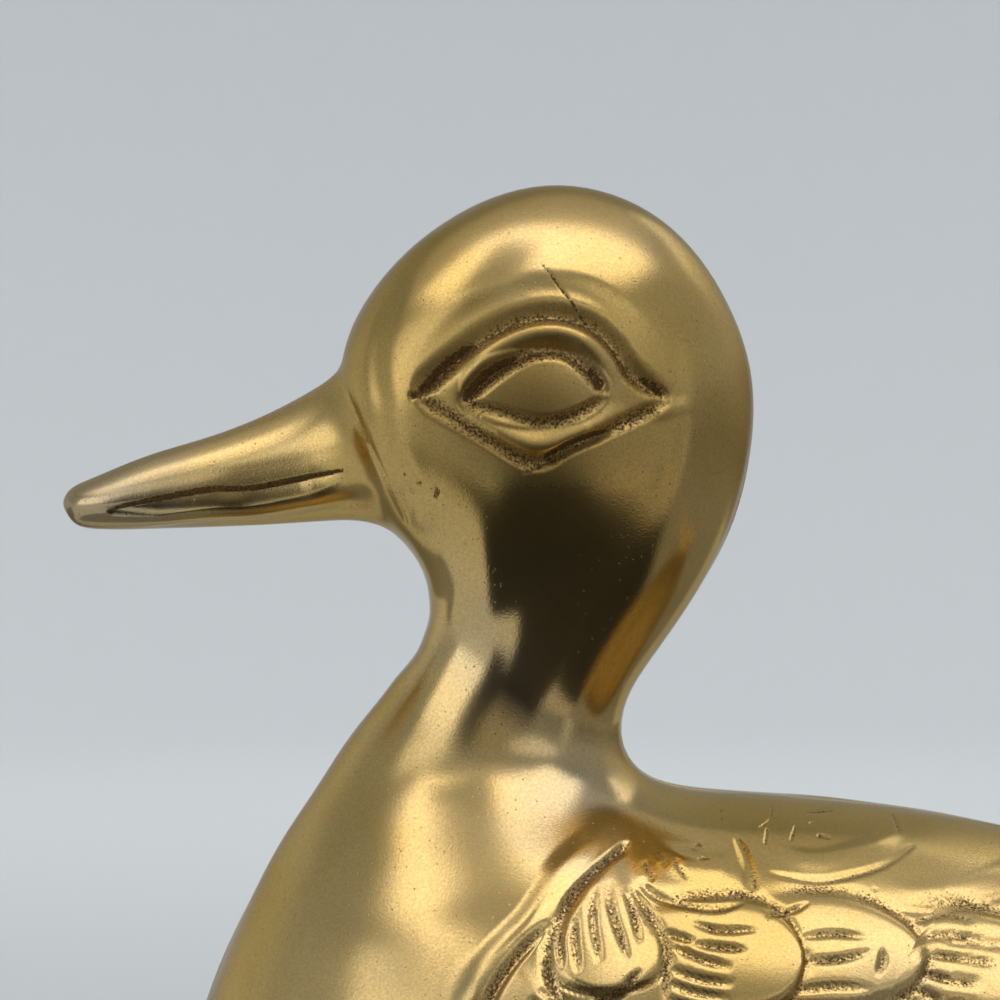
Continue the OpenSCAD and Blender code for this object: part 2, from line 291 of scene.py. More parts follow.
@dataclass
class Canvas:
    """Heights and tarnished grime that the chaser's tools leave on points of the surface, with painted shade in the
    chisel slits.
    """

    points: np.ndarray
    normals: np.ndarray
    form: np.ndarray = field(init=False)
    depth: np.ndarray = field(init=False)
    tarnish_and_shade: np.ndarray = field(init=False)
    satin: np.ndarray = field(init=False)
    side: View = field(init=False)
    top: View = field(init=False)

    def __post_init__(self) -> None:
        """Starts with bare metal and works out the two views."""
        count = len(self.points)
        self.form, self.depth, self.tarnish_and_shade, self.satin = (np.zeros(count) for _ in range(4))
        x, y, z = self.points.T
        nx, ny, nz = self.normals.T
        steep = np.minimum(ny, -0.35)
        self.side = View(np.column_stack([x, z]), np.column_stack([nx, nz]) / steep[:, None], ny < 0.05,
                         smooth_step(0, 0.8, -ny))
        flat = np.maximum(nz, 0.35)
        self.top = View(np.column_stack([x, -y]), np.column_stack([nx, -ny]) / flat[:, None], nz > 0.1,
                        smooth_step(0, 0.8, nz))

    def near(self, view: View, line: np.ndarray, reach: float
             ) -> tuple[np.ndarray, np.ndarray, np.ndarray, np.ndarray]:
        """Finds the points near a line of a view.

        Args:
            view: The view that the line is drawn in.
            line: Its points, one row each.
            reach: How far from the line to look, in millimetres.

        Returns:
            Indices of the points, their distance over the surface, how far
            along the line they are from 0 to 1, and their signed distance in
            the view, positive on the line's left.
        """
        low, high = line.min(axis=0) - reach, line.max(axis=0) + reach
        inside = view.seen & np.all((view.plane > low) & (view.plane < high), axis=1)
        index = np.nonzero(inside)[0]
        spot = view.plane[index][:, None]
        start, run = line[:-1][None], np.diff(line, axis=0)[None]
        span = (run ** 2).sum(axis=2)
        t = np.clip(((spot - start) * run).sum(axis=2) / span, 0, 1)
        gap = spot - start - run * t[..., None]
        pick = np.argmin((gap ** 2).sum(axis=2), axis=1)
        rows = np.arange(len(index))
        gap, t, run = gap[rows, pick], t[rows, pick], run[0][pick]
        lengths = np.sqrt(span[0])
        total = lengths.sum()
        share = (np.concatenate([[0], np.cumsum(lengths)])[pick] + t * lengths[pick]) / total
        flat = np.linalg.norm(gap, axis=1)
        true = np.sqrt(flat ** 2 + (gap * view.slope[index]).sum(axis=1) ** 2)
        sign = np.sign(run[:, 0] * gap[:, 1] - run[:, 1] * gap[:, 0])
        return index, true, share, flat * sign

    def cut(self, view: View, path: Sequence[Point], widths: tuple[float, float], depth: float,
            tool: Tool = Tool.SCRAPER, ends: tuple[float, float] = (0.2, 0.2),
            dirt_and_shade: tuple[float, float] = (0.6, 0.6)) -> None:
        """Cuts a line that tapers at its ends, with a bank on each side of it.

        Args:
            view: The view that the line is drawn in.
            path: Its points.
            widths: Width of the bank on the line's left and on its right, in millimetres.
            depth: Depth at the middle, in millimetres.
            tool: Shape of the cut. A chisel cuts into what is there already.
            ends: Share of the line over which each end tapers.
            dirt_and_shade: How much tarnished grime each bank holds, from 0 to 1; the eye and mouth slits go far
                above 1, which paints one wall near black as painted shade.
        """
        index, away, share, side = self.near(view, curved(path), max(widths) * 1.1)
        fade = np.sqrt(np.clip(share / max(ends[0], 1e-3), 0, 1) * np.clip((1 - share) / max(ends[1], 1e-3), 0, 1))
        width = np.where(side > 0, widths[0], widths[1])
        across = away / (width * (0.4 + 0.6 * fade) + 1e-6)
        if tool is Tool.CHISEL:
            self.depth[index] += depth * fade * np.clip(1 - across, 0, 1)
        else:
            soft = np.cos(np.clip(across, 0, 1) * math.pi / 2) ** 2
            self.depth[index] = np.maximum(self.depth[index], depth * fade * soft)
        # Grime on each bank; on the eye and mouth slits it is painted shade that turns one wall near black.
        grime_and_shade = np.where(side > 0, dirt_and_shade[0], dirt_and_shade[1]) * fade * np.clip(1.1 - across, 0, 1)
        self.tarnish_and_shade[index] = np.maximum(self.tarnish_and_shade[index], grime_and_shade)

    def swell(self, view: View, path: Sequence[Point], width: float, height: float) -> None:
        """Leaves a soft ridge along a line, or a soft hollow.

        Args:
            view: The view that the line is drawn in.
            path: Its points.
            width: Width of the ridge from foot to foot, in millimetres.
            height: Its height, less than 0 for a hollow.
        """
        index, away, share, _ = self.near(view, curved(path), width / 2)
        fade = np.clip(share / 0.25, 0, 1) * np.clip((1 - share) / 0.25, 0, 1) * view.facing[index]
        self.form[index] += height * fade * np.cos(np.clip(away / (width / 2), 0, 1) * math.pi / 2) ** 2


@dataclass(frozen=True)
class Feather:
    """One chased feather: a tongue along a curve that stands up towards its tip."""

    axis: tuple[Point, ...]
    width: float
    lift: float = 0.8
    root_share: float = 0.8
    tip_length: float = 4.5
    barbs: int = 5
    barb_from: float = 0.12
    barb_to: float = 0.62
    slanting: bool = False
    seed: int = 0

    def chase(self, canvas: Canvas, view: View) -> None:
        """Raises the feather over what lies under it, then cuts its barbs.

        Args:
            canvas: The surface to work on.
            view: The view that the feather is drawn in.
        """
        line = curved(self.axis, 6)
        index, _, share, side = canvas.near(view, line, self.width / 2 + 1.6)
        length = np.linalg.norm(np.diff(line, axis=0), axis=1).sum()
        turn = 1 - min(0.9, self.tip_length / length)
        breadth = self.width / 2 * (self.root_share + (1 - self.root_share) * smooth_step(0, max(turn, 0.3), share))
        breadth = breadth * np.sqrt(np.clip(1 - (np.clip(share - turn, 0, 1) / (1 - turn)) ** 2, 0, 1))
        edge = breadth - np.abs(side)
        cover = smooth_step(-0.55, 1.1, edge)
        crown = 1 - 0.45 * (np.abs(side) / (self.width / 2)) ** 2
        rise = self.lift * (0.15 + 0.85 * share) * crown
        under = canvas.form[index]
        lapped = cover * smooth_step(-0.3, 0.1, rise - under)
        canvas.form[index] = under + np.maximum(rise - under, 0) * cover
        canvas.satin[index] = np.maximum(canvas.satin[index], 0.5 * smooth_step(-1.5, 0.5, edge))
        canvas.depth[index] *= 1 - lapped
        canvas.tarnish_and_shade[index] *= 1 - lapped
        foot = np.exp(-((edge + 0.25) / 0.5) ** 2) * smooth_step(0.1, 0.45, share)
        foot *= smooth_step(-0.3, 0.1, rise - under)
        canvas.depth[index] = np.maximum(canvas.depth[index], 0.22 * foot)
        canvas.tarnish_and_shade[index] = np.maximum(canvas.tarnish_and_shade[index], 0.42 * foot)
        for barb in self.barb_lines(line):
            canvas.cut(view, barb, (0.62, 0.62), 0.3, dirt_and_shade=(0.44, 0.44))

    def barb_lines(self, line: np.ndarray) -> list[list[Point]]:
        """Lays out the barbs, along the feather or slanting away from its shaft.

        Args:
            line: Points of the feather's axis.

        Returns:
            One list of points for each barb.
        """
        dice = np.random.default_rng(self.seed)
        steps = np.linalg.norm(np.diff(line, axis=0), axis=1)
        run = np.concatenate([[0], np.cumsum(steps)]) / steps.sum()

        def at(share: float, across: float) -> Point:
            """Gives a place beside the shaft.

            Args:
                share: How far along the feather, from 0 to 1.
                across: Distance to the left of the shaft, in millimetres.

            Returns:
                The place in the view.
            """
            spot = [float(np.interp(share, run, line[:, k])) for k in (0, 1)]
            step = [float(np.interp(min(share + 0.02, 1), run, line[:, k])
                          - np.interp(max(share - 0.02, 0), run, line[:, k])) for k in (0, 1)]
            size = math.hypot(*step)
            return spot[0] - step[1] / size * across, spot[1] + step[0] / size * across

        barbs = []
        half = self.width / 2
        if self.slanting:
            barbs.append([at(s, 0) for s in (0.08, 0.35, 0.65, 0.93)])
            spacing = 2.1 / steps.sum()
            for k in range(int(0.8 / spacing)):
                share = 0.1 + k * spacing
                for way in (-1, 1):
                    jolt = dice.uniform(-0.25, 0.25) * spacing
                    reach = half * dice.uniform(0.66, 0.8) * way
                    barbs.append([at(share + jolt, 0.18 * reach), at(share + jolt + 0.5 * spacing, 0.6 * reach),
                                  at(min(share + jolt + 1.2 * spacing, 0.97), reach)])
            return barbs
        for k in range(self.barbs):
            across = half * 0.78 * (2 * k / max(self.barbs - 1, 1) - 1)
            start = self.barb_from + dice.uniform(0, 0.1)
            end = self.barb_to - 0.16 * (across / half) ** 2 + dice.uniform(-0.1, 0.06)
            middle = (start + end) / 2
            spread = across * dice.uniform(0.96, 1.06)
            barbs.append([at(start, 0.72 * across), at(middle, spread), at(end, 0.94 * spread)])
        return barbs


@dataclass(frozen=True)
class Eye:
    """Almond eye: valleys round a full lid and a flat-topped ball, sharpened with a chisel."""

    upper: tuple[Point, ...] = ((-49.8, 103.4), (-47.1, 106), (-43.2, 108.9), (-39.1, 110.2), (-35.6, 109.6),
                                (-33.2, 107.7), (-31.4, 105.1), (-28.4, 103.3))
    lower: tuple[Point, ...] = ((-49.8, 103.4), (-47.2, 101.9), (-44, 100), (-39.9, 97.9), (-36.8, 99.3),
                                (-33.2, 100.9), (-28.4, 103.2))
    ball_upper: tuple[Point, ...] = ((-46, 103), (-43.2, 105.2), (-40.4, 106.9), (-37.8, 107.1),
                                     (-35.7, 105.8), (-33.8, 103.5))
    ball_lower: tuple[Point, ...] = ((-46, 103), (-42.7, 102.2), (-39.4, 101.3), (-36.6, 102), (-33.8, 103.5))
    ball: Point = (-39.8, 104.1)
    ball_size: Point = (6.4, 3.4)
    slits: tuple[tuple[tuple[Point, ...], float], ...] = (
        (((-49.7, 103.5), (-47.5, 106), (-44.8, 107.9)), 0.5),
        (((-45.8, 103), (-43.7, 105.2), (-41.2, 106.6)), 0.5),
        (((-39, 98.1), (-36.6, 99.5), (-33.4, 100.5)), 0.8))

    def chase(self, canvas: Canvas) -> None:
        """Models the lids and the ball, then cuts the crisp slits, with painted shade on one wall of each slit.

        Args:
            canvas: The surface to work on.
        """
        view = canvas.side
        index = np.nonzero(view.seen)[0]
        off = (view.plane[index] - np.array(self.ball)) / np.array(self.ball_size)
        canvas.form[index] += 0.5 * np.clip(1 - (off ** 2).sum(axis=1), 0, 1) ** 0.45
        canvas.satin[index] = 0.4 + 0.6 * np.clip(1.7 - 0.25 * (off ** 2).sum(axis=1), 0, 1)
        canvas.satin[index] *= smooth_step(88, 97, view.plane[index][:, 1])
        bill = smooth_step(-54, -58, view.plane[index][:, 0])
        canvas.satin[index] += bill * (0.5 * smooth_step(93.5, 96, view.plane[index][:, 1]) - canvas.satin[index])
        canvas.swell(view, ((-47.6, 103.4), (-44.4, 106.4), (-41, 108.4), (-37.8, 108.8), (-35, 107.5),
                            (-32.6, 104.9)), 3.0, 0.74)
        canvas.swell(view, ((-46.6, 101.9), (-43.6, 100.7), (-39.8, 99.4), (-36, 100.5), (-32.2, 102.5)), 3.0, 0.68)
        canvas.swell(view, ((-49.6, 105.6), (-45.8, 109.9), (-40.4, 112.5), (-35, 112), (-31, 108.4), (-28, 105.2)),
                     4.2, -0.22)
        canvas.cut(view, self.upper, (2.0, 1.1), 0.7, ends=(0.06, 0.1), dirt_and_shade=(0.4, 0.7))
        canvas.cut(view, self.lower, (1.1, 1.0), 0.5, ends=(0.06, 0.1), dirt_and_shade=(0.5, 0.55))
        canvas.cut(view, self.ball_upper, (1.3, 1.0), 0.5, ends=(0.08, 0.12), dirt_and_shade=(0.4, 0.66))
        canvas.cut(view, self.ball_lower, (0.8, 0.9), 0.42, ends=(0.08, 0.12), dirt_and_shade=(0.6, 0.5))
        # Painted shade: one wall of each slit is filled near black, standing in for the shade inside the narrow cut.
        for path, facet in self.slits:
            canvas.cut(view, path, (0.6, facet), 0.5, Tool.CHISEL, ends=(0.08, 0.25), dirt_and_shade=(3.8, 0.0))
        canvas.cut(view, ((-35.4, 105.9), (-34.2, 103.9)), (0.9, 0.8), 0.7, dirt_and_shade=(0.8, 0.8))
        canvas.cut(view, ((-31, 105.2), (-28.6, 103.6)), (0.8, 0.5), 0.9, dirt_and_shade=(0.9, 0.5))
        canvas.cut(view, ((-50.5, 103.5), (-49.4, 103.7)), (0.45, 0.45), 0.4, dirt_and_shade=(1.2, 1.2))
        canvas.swell(view, ((-30.4, 101.9), (-28.4, 102.5), (-26, 103)), 2.2, 0.2)


@dataclass(frozen=True)
class Face:
    """Mouth, bill root and the soft hollows of the face."""

    mouth: tuple[Point, ...] = ((-77.3, 93.9), (-73.5, 94.55), (-68.2, 95.5), (-64.7, 95.65), (-61, 96.3),
                                (-56.1, 97.4))
    crease: tuple[Point, ...] = ((-57.5, 106.4), (-56.2, 103.8), (-54.7, 101), (-53.5, 98.6), (-51.9, 95),
                                 (-50.9, 92.8))
    hairs: tuple[tuple[Point, ...], ...] = (((-39.4, 115), (-36.5, 111.2), (-34.4, 108.2)),
                                            ((-36.9, 98.5), (-41.1, 96.9)))

    def chase(self, canvas: Canvas) -> None:
        """Cuts the mouth and the bill root and dresses the cheeks, with painted shade on the mouth slit's upper wall.

        Args:
            canvas: The surface to work on.
        """
        view = canvas.side
        canvas.swell(view, [(x, z - 1.5) for x, z in ((-80, 94.2),) + self.mouth + ((-52, 98.2),)], 7.2, 0.8)
        # Painted shade: the mouth slit's upper wall is filled near black, standing in for the shade inside the cut.
        canvas.cut(view, self.mouth, (0.6, 1.2), 0.5, Tool.CHISEL, ends=(0.22, 0.2), dirt_and_shade=(3.2, 0.0))
        behind = [(x + 1.5, z) for x, z in self.crease[1:]]
        canvas.swell(view, behind, 3.8, -0.3)
        canvas.cut(view, self.crease, (1.9, 0.5), 0.2, Tool.CHISEL, ends=(0.3, 0.15), dirt_and_shade=(0.05, 0.2))
        for k in range(5):
            shift = 0.42 * (k + 1)
            line = [(x + shift, z - 0.12 * k) for x, z in self.crease[3:]]
            canvas.cut(view, line, (0.16, 0.16), 0.035, ends=(0.5, 0.4), dirt_and_shade=(0.0, 0.0))
        canvas.swell(view, ((-51.2, 113.4), (-53, 109), (-53.2, 104.8), (-51.6, 99.4)), 3.6, -0.3)
        canvas.swell(view, ((-26.4, 109.8), (-26.2, 104), (-27, 97), (-28.8, 91)), 4.6, 0.24)
        for hair in self.hairs:
            canvas.cut(view, hair, (0.2, 0.2), 0.06, dirt_and_shade=(0.75, 0.75))
        for spot in ((-51.4, 97), (-49.9, 96.2), (-48.4, 95.6), (-50.6, 95.4)):
            canvas.cut(view, (spot, (spot[0] + 0.5, spot[1] - 0.2)), (0.24, 0.24), 0.08, dirt_and_shade=(0.6, 0.6))


@dataclass(frozen=True)
class Wing:
    """Folded wing: shoulder, rows of small feathers, flight feathers and back feathers."""

    shoulder_groove: tuple[Point, ...] = ((-32.1, 66), (-34.4, 64.6), (-36.4, 63), (-37.5, 61.4), (-38, 59.2))
    front_edge: tuple[Point, ...] = ((-38.8, 60.6), (-41.6, 57.9), (-43.8, 54.6), (-45.6, 49.4), (-46.2, 43.4),
                                     (-45.2, 37.2), (-41.8, 32), (-36, 28.4), (-27.4, 26))
    covert_rows: tuple[tuple[Point, int, float], ...] = (
        ((-25.2, 49.4), 3, -3), ((-29.2, 41.2), 3, 1), ((-27, 33.4), 3, 6))
    covert_pitch: float = 10.2
    covert_length: float = 14.0
    covert_width: float = 8.8
    flight_count: int = 6
    flight_root: tuple[Point, Point] = ((4, 56.4), (-3, 31.6))
    flight_bend: tuple[Point, Point] = ((20, 55.2), (33, 28.6))
    flight_tip: tuple[Point, Point] = ((37, 51), (63, 41.4))
    flight_width: float = 7.4
    strokes: tuple[tuple[Point, ...], ...] = (
        ((-37.9, 60.9), (-38, 59.2), (-37.8, 57.2)), ((-36.7, 61.4), (-36.8, 59.4), (-36.5, 56.8)),
        ((-35.1, 63), (-35.3, 60.4), (-34.8, 57.6)), ((-34, 63.4), (-33.7, 61.1), (-32.6, 57.8)),
        ((-32.7, 63), (-32, 61.1), (-31.6, 58.9)),
        ((-27.4, 60.4), (-25.2, 59.8), (-22, 59.7)), ((-29.7, 60), (-28.6, 59.5), (-27.2, 59.1)),
        ((-27.4, 58.9), (-25.3, 58.6), (-23, 58.3)), ((-29.3, 58.9), (-26.7, 57.8), (-24.3, 57.1)),
        ((-29.6, 57.4), (-27.1, 56.5), (-24.2, 56)), ((-29.7, 56.4), (-27.4, 55.6), (-24.6, 55)),
        ((-29.6, 55.2), (-27.4, 54.4), (-24.8, 53.9)),
        ((-21.3, 60.7), (-19.4, 61), (-17.4, 61.6)), ((-18.6, 59.2), (-15.8, 59.3), (-13, 58.9)),
        ((-18.8, 57.6), (-15.8, 57.5), (-12.8, 57.9)), ((-12, 58), (-12, 57.2), (-12.5, 56.4)),
        ((-20, 55.4), (-16.4, 55.7), (-12.9, 55.4)), ((-20.2, 54.2), (-16.6, 54.2), (-13.6, 53.8)))
    back_edges: tuple[tuple[Point, ...], ...] = (
        ((-20.6, 63.9), (-16.8, 63.2), (-14.4, 63.3), (-10.5, 64), (-7.3, 65.2)),
        ((-11.4, 61.2), (-7.7, 60.6), (-3.9, 60.9), (0.5, 61.8), (5, 63.2)),
        ((-7.4, 58.6), (-4.6, 58.2), (-1, 58), (4.6, 58.6), (10.5, 60.2)),
        ((6, 60.4), (10.6, 59.6), (15.4, 59.2), (20.4, 58.8), (24.6, 58.9)),
        ((17, 57), (22, 55.8), (27, 54.8), (31.5, 54.6)))

    def flight_feathers(self) -> list[Feather]:
        """Lays out the long feathers, so that each upper one laps the next.

        Returns:
            The feathers from the flank up.
        """
        feathers = []
        for k in range(self.flight_count - 1, -1, -1):
            f = k / (self.flight_count - 1)
            axis = [tuple(np.array(a) * (1 - f) + np.array(b) * f)
                    for a, b in (self.flight_root, self.flight_bend, self.flight_tip)]
            middle = tuple(np.array(axis[0]) / 4 + np.array(axis[1]) / 2 + np.array(axis[2]) / 4)
            feathers.append(Feather((axis[0], middle, axis[2]), self.flight_width, 0.85, 0.9,
                                    slanting=True, seed=40 + k))
        return feathers

    def coverts(self) -> list[Feather]:
        """Lays out the lower rows of small feathers.

        Returns:
            The feathers, the lowest and rearmost first.
        """
        feathers = []
        for row, (tip, count, heading) in reversed(list(enumerate(self.covert_rows))):
            way = np.array([math.cos(math.radians(heading)), math.sin(math.radians(heading))])
            for k in range(count - 1, -1, -1):
                end = np.array(tip) + np.array([k * self.covert_pitch, 0])
                root = end - way * self.covert_length
                bow = (end + root) / 2 + np.array([-way[1], way[0]]) * 0.5
                feathers.append(Feather((tuple(root), tuple(bow), tuple(end)), self.covert_width,
                                        barbs=6, seed=10 * row + k))
        return feathers

    def top_feathers(self) -> list[Feather]:
        """Lays out the top row and the feathers that fan out in front of it.

        Returns:
            The feathers, the rearmost first.
        """
        return [
            Feather(((-11.8, 58.2), (-4, 57), (2.6, 55.4)), 7.6, 0.8, tip_length=6.5, barbs=5, seed=61),
            Feather(((-23.4, 58.4), (-16, 58.3), (-8.3, 57.3)), 8, 0.85, 0.9, 8.2, barbs=0),
            Feather(((-33, 57.6), (-26, 58), (-18.4, 57.6)), 8.4, 0.95, 0.9, 5, barbs=0),
            Feather(((-43, 47.5), (-39, 42.6), (-34.8, 36.4)), 8.4, root_share=0.7, barbs=6, seed=71),
            Feather(((-43, 56.6), (-40, 52), (-35, 46)), 8.6, root_share=0.6, barbs=6, seed=72),
            Feather(((-33.4, 65.6), (-34.2, 60.6), (-34, 55.6)), 9.2, 0.9, 0.2, 2.4, barbs=0),
        ]

    def chase(self, canvas: Canvas) -> None:
        """Chases the whole wing, from the feathers that lie lowest to those on top.

        Args:
            canvas: The surface to work on.
        """
        view = canvas.side
        x, z = view.plane.T
        breast = smooth_step(-34, -44, x) * smooth_step(84, 68, z)
        flank = smooth_step(-38, -30, x) * smooth_step(68.5, 64.5, z - 0.12 * np.minimum(x, 0))
        canvas.satin = np.maximum(canvas.satin, np.maximum(0.35 * breast, 0.5 * flank))
        for feather in self.flight_feathers() + self.coverts() + self.top_feathers():
            feather.chase(canvas, view)
        for stroke in self.strokes:
            canvas.cut(view, stroke, (0.58, 0.58), 0.3, ends=(0.3, 0.3), dirt_and_shade=(0.46, 0.46))
        for edge in self.back_edges:
            above = [(x, z + 1.5) for x, z in edge]
            canvas.swell(view, above, 4.2, 0.26)
            canvas.cut(view, edge, (0.8, 0.75), 0.22, ends=(0.3, 0.3), dirt_and_shade=(0.12, 0.36))
        self.front(canvas)
        self.nicks(canvas)

    def front(self, canvas: Canvas) -> None:
        """Rounds the shoulder and the lobe behind it and cuts their edges.

        Args:
            canvas: The surface to work on.
        """
        view = canvas.side
        canvas.swell(view, ((-30.4, 65.6), (-26.6, 64.6), (-22.4, 64.2)), 5.4, 0.3)
        canvas.cut(view, ((-22.9, 66.3), (-22.2, 65), (-21.9, 63.5), (-22.3, 62)), (0.9, 1.2), 0.17,
                   dirt_and_shade=(0.34, 0.1))
        canvas.cut(view, ((-31.4, 63.6), (-30.4, 62.6), (-28.1, 61.8), (-25.4, 61.3), (-22.6, 61.8)), (0.9, 0.7), 0.3,
                   dirt_and_shade=(0.3, 0.4))
        canvas.cut(view, ((-32.3, 63.2), (-30.6, 61.2), (-29.7, 59.2), (-29.6, 57.2), (-29.7, 54.9)), (0.6, 0.6), 0.3,
                   dirt_and_shade=(0.42, 0.42))
        for stroke in (((-30.9, 64.9), (-30.2, 63.4)), ((-29.8, 65.7), (-28.8, 64.3)),
                       ((-28.8, 65.2), (-27.3, 63.5))):
            canvas.cut(view, stroke, (0.45, 0.45), 0.08, dirt_and_shade=(0.42, 0.42))
        ridge = [(x - 1.3, z + 1.25) for x, z in self.shoulder_groove[:4]]
        ridge += [(-40.4, 60.6), (-43, 58.2), (-45.4, 54.6), (-47.2, 49), (-47.8, 43), (-46.8, 36.4)]
        canvas.swell(view, ridge, 4.2, 0.42)
        canvas.cut(view, self.shoulder_groove, (0.95, 0.8), 0.5, ends=(0.05, 0.3), dirt_and_shade=(0.4, 0.62))
        canvas.cut(view, self.front_edge, (0.8, 0.9), 0.42, ends=(0.06, 0.3), dirt_and_shade=(0.36, 0.6))
        canvas.cut(view, ((-39.4, 58), (-38.5, 55.6), (-37, 53)), (0.5, 0.6), 0.45, dirt_and_shade=(0.8, 0.6))
        canvas.cut(view, ((-35.6, 55.4), (-33.4, 55.6), (-31.7, 57)), (0.6, 0.6), 0.4, dirt_and_shade=(0.7, 0.7))

    @staticmethod
    def nicks(canvas: Canvas) -> None:
        """Cuts the short bright marks and crescents on the back.

        Args:
            canvas: The surface to work on.
        """
        view = canvas.side
        for x, z, size in ((-25.6, 66.5, 0.5), (-26.1, 65.7, 0.9), (-25.8, 64.8, 0.9), (-23.4, 68.2, 0.5),
                           (-23.4, 67.8, 0.6), (-23.5, 67.3, 0.7), (-15.8, 66.9, 0.7), (-15.1, 66.1, 1),
                           (-24.6, 66.6, 0.4)):
            canvas.cut(view, ((x - size * 0.5, z + 0.1), (x + size * 0.6, z - 0.1)), (0.12 * size, 0.5 * size),
                       0.2 * size, Tool.CHISEL, ends=(0.05, 0.9), dirt_and_shade=(0.8, 0))
        for line in (((-18.7, 68.2), (-19, 67.8), (-19.6, 67.2), (-20.8, 66.7)), ((-8.1, 67.1), (-8.3, 66)),
                     ((-19.9, 66.8), (-20.4, 65.7)), ((-17.3, 66.9), (-18.1, 65.9)), ((-16, 67.5), (-13.4, 67.5)),
                     ((-7.1, 61.9), (-5.6, 61.3)), ((-12, 62.6), (-11.4, 62.3)), ((-4.6, 59.7), (-4.1, 59.4))):
            canvas.cut(view, line, (0.22, 0.22), 0.12, dirt_and_shade=(0.5, 0.5))


@dataclass(frozen=True)
class Tail:
    """Fan of tail feathers, drawn from above."""

    feathers: tuple[tuple[Point, Point], ...] = (
        ((58, 12.6), (75.6, 9.2)), ((57, 8), (79, 5.6)), ((56, 2.6), (81, 1.8)))
    width: float = 5.4

    def chase(self, canvas: Canvas) -> None:
        """Chases the outer feathers first, so that the middle one lies on top."""
        for k, (root, tip) in enumerate(self.feathers):
            Feather((root, tip), self.width, 0.75, 0.9, 3, slanting=True, seed=90 + k).chase(canvas, canvas.top)


class SkinGrid:
    """Mesh of a stretch of the skin, with smaller faces where finer work needs them."""

    def __init__(self, skin: Skin, nodes: np.ndarray, rows: int, spacing: Callable[[np.ndarray], np.ndarray],
                 levels: int) -> None:
        """Splits the coarse cells until each is as small as its place asks for.

        Args:
            skin: The surface.
            nodes: Places along the duck where the coarse columns start and end.
            rows: Coarse cells from the back to the end of the half.
            spacing: Gives the wanted cell size at points, in millimetres.
            levels: How many times a cell may be halved.
        """
        self.skin, self.nodes, self.rows, self.levels = skin, nodes, rows, levels
        self.columns = len(nodes) - 1
        fine = 2 ** levels
        self.wide, self.tall = self.columns * fine, rows * fine
        splits = [np.zeros((self.columns * 2 ** k, rows * 2 ** k), bool) for k in range(levels)]
        exists = np.ones((self.columns, rows), bool)
        for level in range(levels):
            i, j = np.nonzero(exists)
            step = fine / 2 ** level
            u, angle = self.at((i + 0.5) * step, (j + 0.5) * step)
            along, round_it = skin.slopes(u, angle)
            u2, angle2 = self.at((i + 1) * step, (j + 1) * step)
            u1, angle1 = self.at(i * step, j * step)
            size = np.maximum(np.linalg.norm(along, axis=1) * (u2 - u1),
                              np.linalg.norm(round_it, axis=1) * (angle2 - angle1))
            splits[level][i, j] = size > spacing(skin.place(u, angle))
            exists = np.kron(splits[level], np.ones((2, 2), bool))
        for level in range(levels - 1, 0, -1):
            grown = splits[level].copy()
            grown[1:] |= splits[level][:-1]
            grown[:-1] |= splits[level][1:]
            grown[:, 1:] |= splits[level][:, :-1]
            grown[:, :-1] |= splits[level][:, 1:]
            splits[level - 1] |= grown.reshape(grown.shape[0] // 2, 2, grown.shape[1] // 2, 2).any(axis=(1, 3))
        self.splits = splits
        self.build_faces()

    def at(self, i: np.ndarray, j: np.ndarray) -> tuple[np.ndarray, np.ndarray]:
        """Turns fine grid counts into places on the skin.

        Args:
            i: Counts along the duck.
            j: Counts from the back down.

        Returns:
            Places in stations, and angles in radians.
        """
        fine = 2 ** self.levels
        u = np.interp(np.asarray(i, float) / fine, np.arange(self.columns + 1), self.nodes)
        start, end = self.skin.seam_angle(u), self.skin.end_angle(u)
        return u, start + (end - start) * np.asarray(j, float) / self.tall

    def build_faces(self) -> None:
        """Turns the split cells into faces that share their corners and edge middles."""
        exists = np.ones((self.columns, self.rows), bool)
        corners: list[np.ndarray] = []
        for level in range(self.levels + 1):
            step = 2 ** (self.levels - level)
            split = self.splits[level] if level < self.levels else np.zeros_like(exists)
            i, j = np.nonzero(exists & ~split)
            padded = np.pad(split, 1)
            finer = [padded[i, j + 1], padded[i + 1, j + 2], padded[i + 2, j + 1], padded[i + 1, j]]
            ring = [(0, 0), (0, 1), (0, 2), (1, 2), (2, 2), (2, 1), (2, 0), (1, 0)]
            keys = np.full((len(i), 8), -1, np.int64)
            half = step // 2
            for k, (a, b) in enumerate(ring):
                if k % 2 == 0:
                    keys[:, k] = self.key(i * step + a * step // 2, j * step + b * step // 2)
                elif half:
                    mask = finer[k // 2]
                    keys[mask, k] = self.key(i[mask] * step + a * half, j[mask] * step + b * half)
            corners.append(keys)
            if level < self.levels:
                exists = np.kron(exists & split, np.ones((2, 2), bool))
        keys = np.vstack(corners)
        self.used, inverse = np.unique(keys[keys >= 0], return_inverse=True)
        numbered = np.full(keys.shape, -1, np.int64)
        numbered[keys >= 0] = inverse
        self.faces = [row[row >= 0].tolist() for row in numbered]
        self.i, self.j = self.used // (self.tall + 1), self.used % (self.tall + 1)
        self.u, self.angle = self.at(self.i, self.j)

    def key(self, i: np.ndarray, j: np.ndarray) -> np.ndarray:
        """Gives each fine grid corner one number."""
        return i * (self.tall + 1) + j

    def line(self, row: int | None = None, column: int | None = None) -> list[int]:
        """Lists the corners on one edge of the grid, in order.

        Args:
            row: Fine row of the edge, or None.
            column: Fine column of the edge, or None.

        Returns:
            Numbers of the corners.
        """
        if row is not None:
            found = np.nonzero(self.j == row)[0]
            return found[np.argsort(self.i[found])].tolist()
        found = np.nonzero(self.i == column)[0]
        return found[np.argsort(self.j[found])].tolist()


